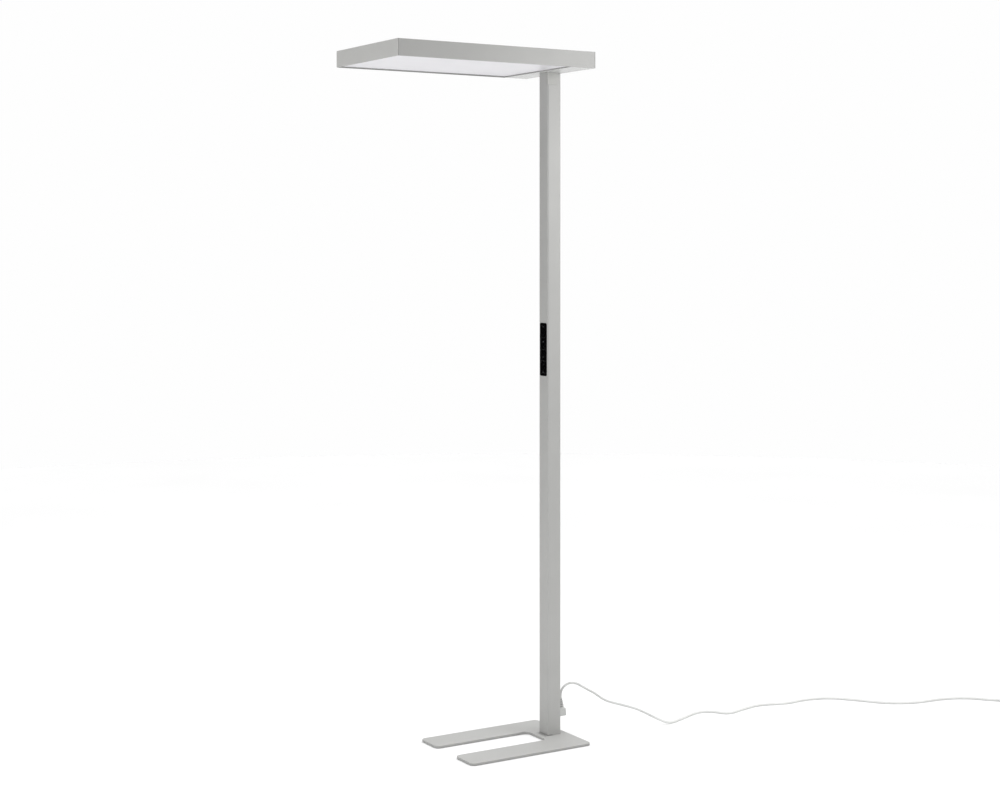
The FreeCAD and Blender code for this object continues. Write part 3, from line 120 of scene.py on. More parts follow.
# Share of metal flake in the silver coats, and the printed marks on the keys.
COAT_FLAKE = 0.15
KEY_MARK_HEIGHTS = (1.1757, 1.1327, 1.0895, 1.0464)
KEY_MARK_COLOUR = "8C8E90"

# Studio: the floor's disc, and the dark flag that the gloss black key strip mirrors.
FLOOR_RADIUS = 7.0
FLOOR_SIDES = 96
FLAG_WAY = (-0.523, 0.852, 0.0)
FLAG_SPAN = (0.75, 0.93)
# Way in which the floor runs on as a white screen behind the lamp.
SCREEN_WAY = (0.523, 0.852, 0.0)
SCREEN_SPAN = (0.80, 0.93)
SCREEN_TOP = 0.03
# Softboxes: name, place, what they face, width and height, and the setting with their power.
SOFTBOXES = (
    ("side_softbox", (0.9, -1.3, 1.9), (0.0, -0.1, 1.75), (0.7, 0.9), "side_power"),
    ("fill_softbox", (1.1, -1.1, 1.3), (0.0, -0.1, 1.5), (0.6, 1.2), "fill_power"),
    ("end_softbox", (-1.9, 0.1, 1.8), (-0.3, 0.0, 1.75), (0.6, 0.6), "end_power"),
)


def linear(code):
    """Linear RGBA of an sRGB hex colour."""
    found = []
    for start in (0, 2, 4):
        value = int(code[start:start + 2], 16) / 255
        found.append(value / 12.92 if value <= 0.04045 else ((value + 0.055) / 1.055) ** 2.4)
    return (*found, 1.0)


def per_mm(size):
    """Scale of a texture whose features are this many millimetres across."""
    return 1000.0 / size


# ---------------------------------------------------------------- settings
class FLOORLAMP_PG_finishes(bpy.types.PropertyGroup):
    """Colours of the lamp's finishes."""
    coat: bpy.props.FloatVectorProperty(
        name="Coat", description="Silver-grey powder coat of head, post and base",
        subtype="COLOR", size=4, min=0, max=1, default=linear("B1B1AF"))
    # A lighter copy of the silver coat for the base plate: painted light that brightens its top.
    base_coat_painted_lighter: bpy.props.FloatVectorProperty(
        name="Base coat", description="Silver-grey powder coat of the steel base plate",
        subtype="COLOR", size=4, min=0, max=1, default=linear("B8B8B6"))
    neck_coat: bpy.props.FloatVectorProperty(
        name="Neck coat", description="Powder coat of the small plate under the head",
        subtype="COLOR", size=4, min=0, max=1, default=linear("AFAFAC"))
    cover_coat: bpy.props.FloatVectorProperty(
        name="Cover coat", description="Gloss coat of the plate behind the light panel",
        subtype="COLOR", size=4, min=0, max=1, default=linear("C6C7C5"))
    opal: bpy.props.FloatVectorProperty(
        name="Opal", description="Opal light panels",
        subtype="COLOR", size=4, min=0, max=1, default=linear("DEDDE1"))
    keys: bpy.props.FloatVectorProperty(
        name="Keys", description="Gloss black key strip",
        subtype="COLOR", size=4, min=0, max=1, default=linear("070708"))
    lead: bpy.props.FloatVectorProperty(
        name="Lead", description="Sheath of the mains lead",
        subtype="COLOR", size=4, min=0, max=1, default=linear("E2E3E1"))
    ends: bpy.props.FloatVectorProperty(
        name="Lead ends", description="Plug and connector moulded on the mains lead",
        subtype="COLOR", size=4, min=0, max=1, default=linear("C2C3C1"))


class FLOORLAMP_PG_lead(bpy.types.PropertyGroup):
    """Sizes of the mains lead and its plug."""
    diameter: bpy.props.FloatProperty(
        name="Diameter", description="Outer diameter of the mains lead",
        unit="LENGTH", default=0.0065, min=0.004, max=0.010)
    length: bpy.props.FloatProperty(
        name="Length", description="Length of the lead from the sleeve to the plug",
        unit="LENGTH", default=2.87, min=1.0, max=5.0)
    flutes: bpy.props.IntProperty(
        name="Flutes", description="Finger flutes round the plug's grip", default=18, min=6, max=30)
    mark: bpy.props.FloatProperty(
        name="Key mark", description="Diameter of the marks on the key strip",
        unit="LENGTH", default=0.0022, min=0.0005, max=0.006)


class FLOORLAMP_PG_studio(bpy.types.PropertyGroup):
    """Light and floor of the studio."""
    floor: bpy.props.FloatVectorProperty(
        name="Floor", description="Pale studio floor",
        subtype="COLOR", size=4, min=0, max=1, default=linear("F6F6F6"))
    backdrop: bpy.props.FloatVectorProperty(
        name="Backdrop", description="White surroundings",
        subtype="COLOR", size=4, min=0, max=1, default=linear("FEFEFE"))
    side_power: bpy.props.FloatProperty(
        name="Side softbox", description="Power of the softbox beside the head",
        unit="POWER", default=7.0, min=0, max=500)
    fill_power: bpy.props.FloatProperty(
        name="Fill softbox", description="Power of the tall softbox beside the post",
        unit="POWER", default=3.5, min=0, max=500)
    end_power: bpy.props.FloatProperty(
        name="End softbox", description="Power of the softbox at the head's free end",
        unit="POWER", default=11.3, min=0, max=500)
    side_light: bpy.props.FloatProperty(
        name="Light from around", description="Brightness of the surroundings at eye level",
        default=0.066, min=0, max=5)
    sky_light: bpy.props.FloatProperty(
        name="Light from above", description="Brightness of the surroundings overhead",
        default=1.643, min=0, max=5)
    screen_light: bpy.props.FloatProperty(
        name="Light from the screen", description="Brightness of the floor that runs on behind",
        default=0.78, min=0, max=5)


# ---------------------------------------------------------------- helpers
def add_node(tree, kind, values=None, links=None, **settings):
    """Add a node with its settings, its socket values and the outputs that feed its inputs."""
    made = tree.nodes.new(kind)
    for name, value in settings.items():
        setattr(made, name, value)
    for socket, value in (values or {}).items():
        made.inputs[socket].default_value = value
    for socket, output in (links or {}).items():
        tree.links.new(output, made.inputs[socket])
    return made


def start_material(name, **surface):
    """Material with one Principled shader; surface gives its sockets' values."""
    made = bpy.data.materials.new(name)
    made.use_nodes = True
    tree = made.node_tree
    tree.nodes.clear()
    values = {key.replace("_", " "): value for key, value in surface.items()}
    shader = add_node(tree, "ShaderNodeBsdfPrincipled", values)
    add_node(tree, "ShaderNodeOutputMaterial", links={"Surface": shader.outputs[0]})
    place = add_node(tree, "ShaderNodeTexCoord").outputs["Object"]
    made.diffuse_color = surface.get("Base_Color", (0.5, 0.5, 0.5, 1))
    return made, tree, shader, place


def shade(colour, factor):
    """The same colour, lighter or darker."""
    return (*[min(1.0, part * factor) for part in colour[:3]], 1.0)


def vary(tree, shader, source, colour, low, high, span=(0.3, 0.7)):
    """Let a pattern move the base colour between two shades."""
    ramp = add_node(tree, "ShaderNodeValToRGB", links={"Fac": source})
    ramp.color_ramp.elements[0].position = span[0]
    ramp.color_ramp.elements[0].color = shade(colour, low)
    ramp.color_ramp.elements[1].position = span[1]
    ramp.color_ramp.elements[1].color = shade(colour, high)
    tree.links.new(ramp.outputs["Color"], shader.inputs["Base Color"])
    return ramp


def roughen(tree, shader, source, low, high):
    """Let a pattern move the roughness between two values."""
    spread = add_node(tree, "ShaderNodeMapRange", {"To Min": low, "To Max": high},
                      {"Value": source})
    tree.links.new(spread.outputs["Result"], shader.inputs["Roughness"])


def emboss(tree, shader, source, height_mm, edge_mm=0.0):
    """Bump from a pattern, over edges softened by a small radius."""
    links = {"Height": source}
    if edge_mm:
        soft = add_node(tree, "ShaderNodeBevel", {"Radius": edge_mm * MM}, samples=6)
        links["Normal"] = soft.outputs["Normal"]
    bump = add_node(tree, "ShaderNodeBump", {"Strength": 1.0, "Distance": height_mm * MM}, links)
    tree.links.new(bump.outputs["Normal"], shader.inputs["Normal"])


def noise(tree, place, size_mm, detail=3.0, stretch=None):
    """Noise of a grain size, stretched along the axes if wanted."""
    if stretch:
        place = add_node(tree, "ShaderNodeMapping", {"Scale": stretch},
                         {"Vector": place}).outputs["Vector"]
    return add_node(tree, "ShaderNodeTexNoise", {"Scale": per_mm(size_mm), "Detail": detail},
                    {"Vector": place}).outputs["Fac"]


def region(tree, place, middle, reach):
    """One inside a box and zero outside it; an axis that is None is open."""
    axes = add_node(tree, "ShaderNodeSeparateXYZ", links={"Vector": place})
    mask = None
    for axis, centre, half in zip(axes.outputs, middle, reach):
        if centre is None:
            continue
        near = add_node(tree, "ShaderNodeMath", {1: centre, 2: half}, {0: axis},
                        operation="COMPARE").outputs[0]
        if mask is None:
            mask = near
        else:
            mask = add_node(tree, "ShaderNodeMath", links={0: mask, 1: near},
                            operation="MULTIPLY").outputs[0]
    return mask


def tint(tree, shader, mask, factor):
    """Make the base colour lighter or darker where a mask is one."""
    source = shader.inputs["Base Color"].links[0].from_socket
    share = add_node(tree, "ShaderNodeMapRange", {"To Min": 1.0, "To Max": factor},
                     {"Value": mask})
    scaled = add_node(tree, "ShaderNodeVectorMath",
                      links={"Vector": source, "Scale": share.outputs["Result"]},
                      operation="SCALE")
    tree.links.new(scaled.outputs["Vector"], shader.inputs["Base Color"])


# ---------------------------------------------------------------- materials
def powder_coat(name, colour, rough=(0.36, 0.50), peel_mm=0.05):
    """Polyester powder, sprayed and baked: satin, with an even fine orange-peel grain."""
    made, tree, shader, place = start_material(
        name, Base_Color=colour, Metallic=COAT_FLAKE, Roughness=sum(rough) / 2)
    cloud = noise(tree, place, 140.0, 2.0)
    vary(tree, shader, cloud, colour, 0.97, 1.02)
    # The real grain is about 0.5 mm; it is drawn at 2 mm so that it shows.
    grain = noise(tree, place, 2.0, 4.0)
    roughen(tree, shader, grain, *rough)
    emboss(tree, shader, grain, peel_mm, 0.7)
    return made, tree, shader, place


def frame_coat(colour):
    """Powder coat on the mitred frame: ground seams at its corners, a painted highlight on their
    edges, painted shade round the panel.
    """
    made, tree, shader, place = powder_coat("silver_powder_coat_on_frame", colour)
    # Painted shade on the inner ledges round the panel.
    tint(tree, shader, region(tree, place, GAP_SHADE_MIDDLE, GAP_SHADE_REACH), GAP_SHADE_TINT)
    from_middle = add_node(tree, "ShaderNodeVectorMath", {1: HEAD_MIDDLE}, {0: place},
                           operation="SUBTRACT").outputs[0]
    corner = add_node(tree, "ShaderNodeVectorMath", links={0: from_middle},
                      operation="ABSOLUTE").outputs[0]
    tint(tree, shader, region(tree, corner, SEAM_MIDDLE, SEAM_REACH), SEAM_TINT)
    # Painted highlight on the frame's corner edges.
    tint(tree, shader, region(tree, corner, EDGE_HIGHLIGHT_MIDDLE, EDGE_HIGHLIGHT_REACH), EDGE_HIGHLIGHT_TINT)
    return made


def foot_coat(name, colour):
    """Powder coat with painted shade on the base's side faces and a painted contact shadow round
    the post's foot.
    """
    made, tree, shader, place = powder_coat(name, colour)
    # Painted shade on the base plate's side faces.
    tint(tree, shader, region(tree, place, RIM_SHADE_MIDDLE, RIM_SHADE_REACH), RIM_SHADE_TINT)
    # Painted contact shadow where the post stands on the base.
    tint(tree, shader, region(tree, place, FOOT_SHADOW_MIDDLE, FOOT_SHADOW_REACH), FOOT_SHADOW_TINT)
    return made


def cover_coat(colour):
    """Gloss powder coat on the thin cover: mirrors at a low angle, with painted shade on its front
    edge in the gap.
    """
    made, tree, shader, place = powder_coat("gloss_powder_coat", colour, (0.10, 0.16), 0.004)
    # Painted shade on the cover's front edge in the gap.
    tint(tree, shader, region(tree, place, GAP_SHADE_MIDDLE, GAP_SHADE_REACH), GAP_SHADE_TINT)
    return made


def opal_acrylic(colour):
    """Opal PMMA sheet, extruded with a fine prism face: milky, even and softly glossy."""
    made, tree, shader, place = start_material(
        "opal_pmma_prism_sheet", Base_Color=colour, Roughness=0.28, IOR=1.49,
        Subsurface_Weight=0.15, Subsurface_Radius=(0.004, 0.004, 0.004))
    # Real prisms are 0.8 mm across; they are drawn at 3 mm so that they show.
    cells = add_node(tree, "ShaderNodeTexVoronoi",
                     {"Scale": per_mm(3.0), "Randomness": 0.15}, {"Vector": place})
    cloud = noise(tree, place, 90.0, 2.0)
    vary(tree, shader, cloud, colour, 0.985, 1.01)
    emboss(tree, shader, cells.outputs["Distance"], 0.02, 0.4)
    return made


def gloss_black(colour, mark):
    """ABS, moulded and clear-coated to a piano gloss, with small printed marks on the keys."""
    made, tree, shader, place = start_material(
        "gloss_black_abs", Base_Color=colour, Roughness=0.10, IOR=1.54,
        Coat_Weight=0.6, Coat_Roughness=0.04)
    smear = noise(tree, place, 40.0, 2.0, (1.0, 1.0, 0.35))
    roughen(tree, shader, smear, 0.09, 0.13)
    axes = add_node(tree, "ShaderNodeSeparateXYZ", links={"Vector": place})
    dots = None
    for height in KEY_MARK_HEIGHTS:
        up = add_node(tree, "ShaderNodeMath", {1: height}, {0: axes.outputs["Z"]},
                      operation="SUBTRACT")
        flat = add_node(tree, "ShaderNodeCombineXYZ",
                        links={"Y": axes.outputs["Y"], "Z": up.outputs[0]})
        far = add_node(tree, "ShaderNodeVectorMath", links={0: flat.outputs[0]},
                       operation="LENGTH")
        dot = add_node(tree, "ShaderNodeMath", {1: mark / 2}, {0: far.outputs["Value"]},
                       operation="LESS_THAN")
        if dots is None:
            dots = dot.outputs[0]
        else:
            dots = add_node(tree, "ShaderNodeMath", links={0: dots, 1: dot.outputs[0]},
                            operation="MAXIMUM").outputs[0]
    ramp = vary(tree, shader, dots, colour, 1.0, 1.0, (0.4, 0.6))
    ramp.color_ramp.elements[1].color = linear(KEY_MARK_COLOUR)
    emboss(tree, shader, smear, 0.001, 0.35)
    return made


def moulded_plastic(name, colour, roughness, grain_mm, height_mm=0.03, edge_mm=0.4):
    """Injection-moulded plastic with a spark-eroded grain: even colour, dull soft gloss."""
    made, tree, shader, place = start_material(
        name, Base_Color=colour, Roughness=roughness, IOR=1.52)
    grain = noise(tree, place, grain_mm, 3.0)
    cloud = noise(tree, place, 30.0, 2.0)
    vary(tree, shader, cloud, colour, 0.96, 1.03)
    roughen(tree, shader, grain, roughness - 0.06, roughness + 0.08)
    emboss(tree, shader, grain, height_mm, edge_mm)
    return made


def ribbed_moulding(colour):
    """PVC moulded on the lead: dull, with painted shade in the grooves of its sleeve."""
    made = moulded_plastic("moulded_pvc_connector", colour, 0.42, 0.8)
    tree = made.node_tree
    shader = tree.nodes["Principled BSDF"]
    place = tree.nodes["Texture Coordinate"].outputs["Object"]
    # Painted shade in each groove of the sleeve.
    for height in GROOVE_HEIGHTS:
        groove = region(tree, place, (None, None, height), (None, None, GROOVE_HALF))
        tint(tree, shader, groove, GROOVE_SHADE_TINT)
    return made


def lead_sheath(colour):
    """PVC sheath, extruded: smooth and slightly waxy, with painted shade that greys the lead where
    it hangs free.
    """
    made, tree, shader, place = start_material(
        "pvc_lead_sheath", Base_Color=colour, Roughness=0.42, IOR=1.53,
        Subsurface_Weight=0.05, Subsurface_Radius=(0.001, 0.001, 0.001))
    cloud = noise(tree, place, 22.0, 3.0)
    vary(tree, shader, cloud, colour, 0.96, 1.03)
    # Painted shade: the lead darkens as it rises off the floor.
    height = add_node(tree, "ShaderNodeSeparateXYZ", links={"Vector": place}).outputs["Z"]
    free = add_node(tree, "ShaderNodeMapRange",
                    {"From Min": HANGING_SHADE_FROM, "From Max": HANGING_SHADE_FULL},
                    {"Value": height}).outputs["Result"]
    tint(tree, shader, free, HANGING_SHADE_TINT)
    # The sheath's skin grain of 0.2 mm is drawn at 1 mm.
    skin = noise(tree, place, 1.0, 2.0)
    roughen(tree, shader, skin, 0.36, 0.5)
    emboss(tree, shader, skin, 0.02)
    return made


def zinc_plate():
    """Steel screws, zinc plated: bright, faintly blue, with a fine turned haze."""
    colour = linear("BCC0C6")
    made, tree, shader, place = start_material(
        "bright_zinc_plated_steel", Base_Color=colour, Metallic=1.0, Roughness=0.3)
    haze = noise(tree, place, 1.2, 3.0)
    vary(tree, shader, haze, colour, 0.9, 1.04)
    roughen(tree, shader, haze, 0.22, 0.4)
    emboss(tree, shader, haze, 0.01, 0.2)
    return made


def galvanised_sheet():
    """Hot-dip galvanised sheet: spangle of flat crystals, each with its own grey and gloss."""
    colour = linear("A9ADB0")
    made, tree, shader, place = start_material(
        "hot_dip_galvanised_sheet", Base_Color=colour, Metallic=0.9, Roughness=0.42)
    spangle = add_node(tree, "ShaderNodeTexVoronoi", {"Scale": per_mm(7.0)}, {"Vector": place})
    tone = add_node(tree, "ShaderNodeSeparateColor", links={"Color": spangle.outputs["Color"]})
    vary(tree, shader, tone.outputs["Red"], colour, 0.82, 1.08, (0.0, 1.0))
    roughen(tree, shader, tone.outputs["Green"], 0.3, 0.55)
    emboss(tree, shader, spangle.outputs["Distance"], 0.01, 0.3)
    return made


def extruded_aluminium():
    """Aluminium, extruded and left raw: silvery, with fine die lines along the piece."""
    colour = linear("C6C8CA")
    made, tree, shader, place = start_material(
        "raw_extruded_aluminium", Base_Color=colour, Metallic=1.0, Roughness=0.38)
    # Die lines of 0.1 mm are drawn at 0.8 mm.
    lines = noise(tree, place, 0.8, 2.0, (1.0, 1.0, 0.02))
    vary(tree, shader, lines, colour, 0.92, 1.03)
    roughen(tree, shader, lines, 0.3, 0.46)
    emboss(tree, shader, lines, 0.008, 0.3)
    return made


def nickel_plate():
    """Brass pins, nickel plated: warm, bright, with light wipe marks along the pins."""
    colour = linear("CFC8BC")
    made, tree, shader, place = start_material(
        "nickel_plated_brass", Base_Color=colour, Metallic=1.0, Roughness=0.18)
    wipes = noise(tree, place, 1.0, 3.0, (0.15, 1.0, 1.0))
    vary(tree, shader, wipes, colour, 0.94, 1.02)
    roughen(tree, shader, wipes, 0.12, 0.28)
    emboss(tree, shader, wipes, 0.004, 0.2)
    return made


def rubber():
    """EPDM pads, die-cut from calendered sheet: matt black with a dusty bloom."""
    colour = linear("232323")
    made, tree, shader, place = start_material(
        "epdm_rubber_pad", Base_Color=colour, Roughness=0.8, IOR=1.5)
    bloom = noise(tree, place, 4.0, 5.0)
    vary(tree, shader, bloom, colour, 0.8, 1.5)
    roughen(tree, shader, bloom, 0.7, 0.9)
    emboss(tree, shader, bloom, 0.05, 0.2)
    return made


def loop_tape():
    """Woven nylon loop tape: matt black with a nap of tiny loops and a rib across."""
    colour = linear("1C1D20")
    made, tree, shader, place = start_material(
        "nylon_loop_tape", Base_Color=colour, Roughness=0.85, Sheen_Weight=0.4,
        Sheen_Roughness=0.5)
    # Loops of 0.25 mm are drawn at 0.7 mm.
    loops = add_node(tree, "ShaderNodeTexVoronoi", {"Scale": per_mm(0.7)}, {"Vector": place})
    vary(tree, shader, loops.outputs["Distance"], colour, 1.6, 0.6)
    roughen(tree, shader, loops.outputs["Distance"], 0.75, 0.95)
    emboss(tree, shader, loops.outputs["Distance"], 0.25)
    return made


def solder_mask(name, colour, copper):
    """Circuit board: sprayed solder mask over copper tracks that show through as a tint."""
    made, tree, shader, place = start_material(
        name, Base_Color=colour, Roughness=0.32, IOR=1.5, Coat_Weight=0.3)
    tracks = add_node(tree, "ShaderNodeTexBrick",
                      {"Scale": per_mm(24.0), "Color1": colour, "Color2": shade(colour, 0.94),
                       "Mortar": copper, "Mortar Size": 0.03}, {"Vector": place})
    tree.links.new(tracks.outputs["Color"], shader.inputs["Base Color"])
    grain = noise(tree, place, 1.5, 2.0)
    roughen(tree, shader, grain, 0.26, 0.4)
    emboss(tree, shader, tracks.outputs["Fac"], 0.03, 0.2)
    return made


def clear_acrylic():
    """Cast PMMA light guide: water clear, with a printed dot grid that scatters the light."""
    colour = linear("EEF4F2")
    made, tree, shader, place = start_material(
        "cast_pmma_light_guide", Base_Color=colour, Roughness=0.04, IOR=1.49,
        Transmission_Weight=0.9)
    # Dots of 0.6 mm pitch are drawn at 4 mm.
    dots = add_node(tree, "ShaderNodeTexVoronoi", {"Scale": per_mm(4.0), "Randomness": 0.0},
                    {"Vector": place})
    vary(tree, shader, dots.outputs["Distance"], colour, 1.0, 0.93, (0.1, 0.3))
    roughen(tree, shader, dots.outputs["Distance"], 0.3, 0.03)
    emboss(tree, shader, dots.outputs["Distance"], 0.01)
    return made


def reflector_film():
    """Microfoamed PET sheet: chalk-white and matt, with a faint cloudiness."""
    colour = linear("F3F3F1")
    made, tree, shader, place = start_material(
        "microfoam_pet_reflector", Base_Color=colour, Roughness=0.7, IOR=1.5)
    cloud = noise(tree, place, 12.0, 4.0)
    vary(tree, shader, cloud, colour, 0.97, 1.0)
    roughen(tree, shader, cloud, 0.6, 0.8)
    emboss(tree, shader, cloud, 0.03)
    return made


def paint_nodes(look, *names):
    """Give CAD nodes a material on their own objects."""
    for name in names:
        piece = NODES[name]
        if not piece.material_slots:
            raise RuntimeError(name + " has no material slot")
        for slot in piece.material_slots:
            slot.link = "OBJECT"
            slot.material = look


def new_piece(name, data, look, body):
    """Object at the origin with its material, riding on a body."""
    piece = bpy.data.objects.new(name, data)
    bpy.context.scene.collection.objects.link(piece)
    data.materials.append(look)
    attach(piece, body)
    return piece


def mesh_from(shape, name, sharp_degrees=35.0):
    """Mesh of a bmesh, smooth but for its sharp edges."""
    bmesh.ops.remove_doubles(shape, verts=shape.verts, dist=1e-6)
    bmesh.ops.recalc_face_normals(shape, faces=shape.faces)
    mesh = bpy.data.meshes.new(name)
    shape.to_mesh(mesh)
    shape.free()
    mesh.shade_smooth()
    mesh.set_sharp_from_angle(angle=math.radians(sharp_degrees))
    return mesh


def turned(profile, steps):
    """Shape turned about X from a profile of points along and out from the axis, in mm."""
    shape = bmesh.new()
    points = [shape.verts.new((along * MM, 0, out * MM)) for along, out in profile]
    lines = [shape.edges.new(pair) for pair in zip(points, points[1:])]
    bmesh.ops.spin(shape, geom=points + lines, cent=(0, 0, 0), axis=(1, 0, 0),
                   angle=2 * math.pi, steps=steps, use_merge=True)
    bmesh.ops.remove_doubles(shape, verts=shape.verts, dist=1e-6)
    bmesh.ops.recalc_face_normals(shape, faces=shape.faces)
    return shape


# ---------------------------------------------------------------- operators
class FLOORLAMP_OT_camera(bpy.types.Operator):
    """Set up the camera at the photograph's viewing angle"""
    bl_idname = "floor_lamp.camera"
    bl_label = "Camera"

    def execute(self, context):
        data = bpy.data.cameras.new("photo_camera")
        data.lens = CAMERA_LENS
        data.sensor_width = 36.0
        data.shift_y = CAMERA_SHIFT
        data.clip_end = 200.0
        camera = bpy.data.objects.new("photo_camera", data)
        camera.location = CAMERA_PLACE
        camera.rotation_euler = (math.radians(90), 0, math.radians(CAMERA_TURN))
        context.scene.collection.objects.link(camera)
        bpy.context.scene.camera = camera
        return {"FINISHED"}


def coil_points():
    """Control points of the coil: three rings inwards on the floor, up, three rings outwards.

    Rings change over at three places next to each other, so that no turn lies in another."""
    outer, middle, inner = COIL_RINGS
    # Angle in degrees along the lead, ring radius and height; straight lines between them.
    stations = [
        (250, outer, COIL_LOW), (530, outer, COIL_LOW), (590, middle, COIL_LOW),
        (890, middle, COIL_LOW), (950, inner, COIL_LOW), (1190, inner, COIL_LOW),
        (1250, inner, COIL_HIGH), (1490, inner, COIL_HIGH), (1550, middle, COIL_HIGH),
        (1850, middle, COIL_HIGH), (1910, outer, COIL_HIGH), (2070, outer, COIL_HIGH)]
    pull = math.cos(math.radians(COIL_STEP / 2))
    found = []
    angle = stations[0][0]
    while angle <= stations[-1][0]:
        for before, after in zip(stations, stations[1:]):
            if before[0] <= angle <= after[0]:
                share = (angle - before[0]) / (after[0] - before[0])
                radius = before[1] + (after[1] - before[1]) * share
                height = before[2] + (after[2] - before[2]) * share
        turn = math.radians(angle)
        found.append((COIL_MIDDLE[0] + radius / pull * math.cos(turn),
                      COIL_MIDDLE[1] + radius / pull * math.sin(turn), height))
        angle += COIL_STEP
    return found


class FLOORLAMP_OT_mains_lead(bpy.types.Operator):
    """Lay the mains lead from its sleeve to the plug, with its coil"""
    bl_idname = "floor_lamp.mains_lead"
    bl_label = "Mains lead"

    def execute(self, context):
        settings = context.scene.floor_lamp_lead
        look = bpy.data.materials.get("pvc_lead_sheath")
        look = look or lead_sheath(context.scene.floor_lamp_finishes.lead)
        curve = bpy.data.curves.new("mains_lead", "CURVE")
        curve.dimensions = "3D"
        curve.bevel_depth = settings.diameter / 2
        curve.bevel_resolution = 4
        curve.resolution_u = 8
        curve.use_fill_caps = True
        spline = curve.splines.new("NURBS")
        points = LEAD_ROUTE + coil_points() + LEAD_TAIL
        spline.points.add(len(points) - 1)
        for point, place in zip(spline.points, points):
            point.co = (*[part * MM for part in place], 1.0)
        spline.order_u = 3
        spline.use_endpoint_u = True
        lead = new_piece("mains_lead", curve, look, "lamp")
        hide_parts("mains_cord", "cord_coil", "cord_tail")
        return {"FINISHED"}


class FLOORLAMP_OT_mains_plug(bpy.types.Operator):
    """Model the round two-pin plug with its fluted grip and ribbed sleeve"""
    bl_idname = "floor_lamp.mains_plug"
    bl_label = "Mains plug"

    def execute(self, context):
        settings = context.scene.floor_lamp_lead
        neck = PLUG_RELIEF
        face = neck + PLUG_GRIP
        end = face + PLUG_FACE
        profile = [(0, 0), (0, PLUG_RELIEF_RADIUS - 0.6), (0.6, PLUG_RELIEF_RADIUS)]
        ribs = 4
        pitch = (neck - 2.0) / ribs
        for n in range(ribs):
            low = 1.5 + n * pitch
            out = PLUG_RELIEF_RADIUS + (PLUG_NECK_RADIUS - PLUG_RELIEF_RADIUS) * low / neck
            profile += [(low + 0.2, out), (low + 0.6, out - 1.0), (low + pitch * 0.45, out - 1.0),
                        (low + pitch * 0.45 + 0.4, out + 0.1)]
        profile += [(neck, PLUG_NECK_RADIUS), (neck + 0.3, PLUG_NECK_RADIUS + 1.4),
                    (neck + 1.0, PLUG_NECK_RADIUS + 2.2), (neck + 6.0, PLUG_NECK_RADIUS + 4.6),
                    (face - 6.0, PLUG_RADIUS - 2.6), (face - 1.5, PLUG_RADIUS - 0.5),
                    (face, PLUG_RADIUS), (end - 1.5, PLUG_RADIUS), (end - 0.9, PLUG_RADIUS - 0.2),
                    (end - 0.3, PLUG_RADIUS - 0.7), (end, PLUG_RADIUS - 1.5),
                    (end, PLUG_RADIUS - 3.5), (end - 0.5, PLUG_RADIUS - 4.0),
                    (end - 0.5, 0)]
        shape = turned(profile, 4 * settings.flutes)
        flutes = []
        for one in shape.faces:
            middle = one.calc_center_median() / MM
            if neck + 6.0 < middle.x < face - 6.0:
                sector = math.atan2(middle.z, middle.y) / (2 * math.pi) * settings.flutes
                if 0.25 < sector % 1.0 < 0.75:
                    flutes.append(one)
        bmesh.ops.inset_region(shape, faces=flutes, thickness=0.4 * MM, depth=-0.9 * MM,
                               use_even_offset=True)
        rise = math.atan((PLUG_RADIUS - PLUG_RELIEF_RADIUS) / face)
        place = Matrix.Translation([part * MM for part in LEAD_TAIL[-1]])
        bmesh.ops.transform(shape, matrix=place @ Matrix.Rotation(-rise, 4, "Y"),
                            verts=shape.verts)
        look = moulded_plastic("moulded_pvc_plug", context.scene.floor_lamp_finishes.ends,
                               0.42, 0.8)
        plug = new_piece("moulded_plug", mesh_from(shape, "moulded_plug"), look, "lamp")
        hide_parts("mains_plug")
        return {"FINISHED"}


class FLOORLAMP_OT_coated_shell(bpy.types.Operator):
    """Coat the head's frame, the post and the base"""
    bl_idname = "floor_lamp.coated_shell"
    bl_label = "Coated shell"

    def execute(self, context):
        finishes = context.scene.floor_lamp_finishes
        paint_nodes(foot_coat("silver_powder_coat", finishes.coat), "post", "top_cover")
        # The base plate takes the lighter copy of the coat, painted light.
        paint_nodes(foot_coat("silver_powder_coat_on_steel", finishes.base_coat_painted_lighter), "base_plate")
        paint_nodes(powder_coat("warm_grey_powder_coat", finishes.neck_coat)[0], "neck_plate")
        paint_nodes(frame_coat(finishes.coat), "front_rail", "back_rail", "near_rail",
                    "far_rail", "crossbar")
        paint_nodes(cover_coat(finishes.cover_coat), "box_cover")
        return {"FINISHED"}


class FLOORLAMP_OT_light_panels(bpy.types.Operator):
    """Finish the opal panels and the light engine behind them"""
    bl_idname = "floor_lamp.light_panels"
    bl_label = "Light panels"

    def execute(self, context):
        finishes = context.scene.floor_lamp_finishes
        paint_nodes(opal_acrylic(finishes.opal), "downlight_diffuser", "uplight_pane")
        paint_nodes(clear_acrylic(), "light_guide")
        paint_nodes(reflector_film(), "reflector_sheet")
        paint_nodes(solder_mask("white_solder_mask", linear("E9E9E2"), linear("D8D6C8")),
                    "edge_strips", "uplight_boards")
        paint_nodes(galvanised_sheet(), "light_tray", "pane_clips", "head_bracket",
                    "bracket_studs")
        return {"FINISHED"}


class FLOORLAMP_OT_key_strip(bpy.types.Operator):
    """Finish the gloss black key strip and the board behind it"""
    bl_idname = "floor_lamp.key_strip"
    bl_label = "Key strip"

    def execute(self, context):
        gloss = gloss_black(context.scene.floor_lamp_finishes.keys,
                            context.scene.floor_lamp_lead.mark)
        paint_nodes(gloss, "key_bezel", "key_power", "key_brighter", "key_dimmer", "key_auto")
        paint_nodes(solder_mask("green_solder_mask", linear("17522A"), linear("2E6B3C")),
                    "control_board")
        paint_nodes(moulded_plastic("black_pbt", linear("1E1E1F"), 0.55, 0.6), "key_switches")
        return {"FINISHED"}


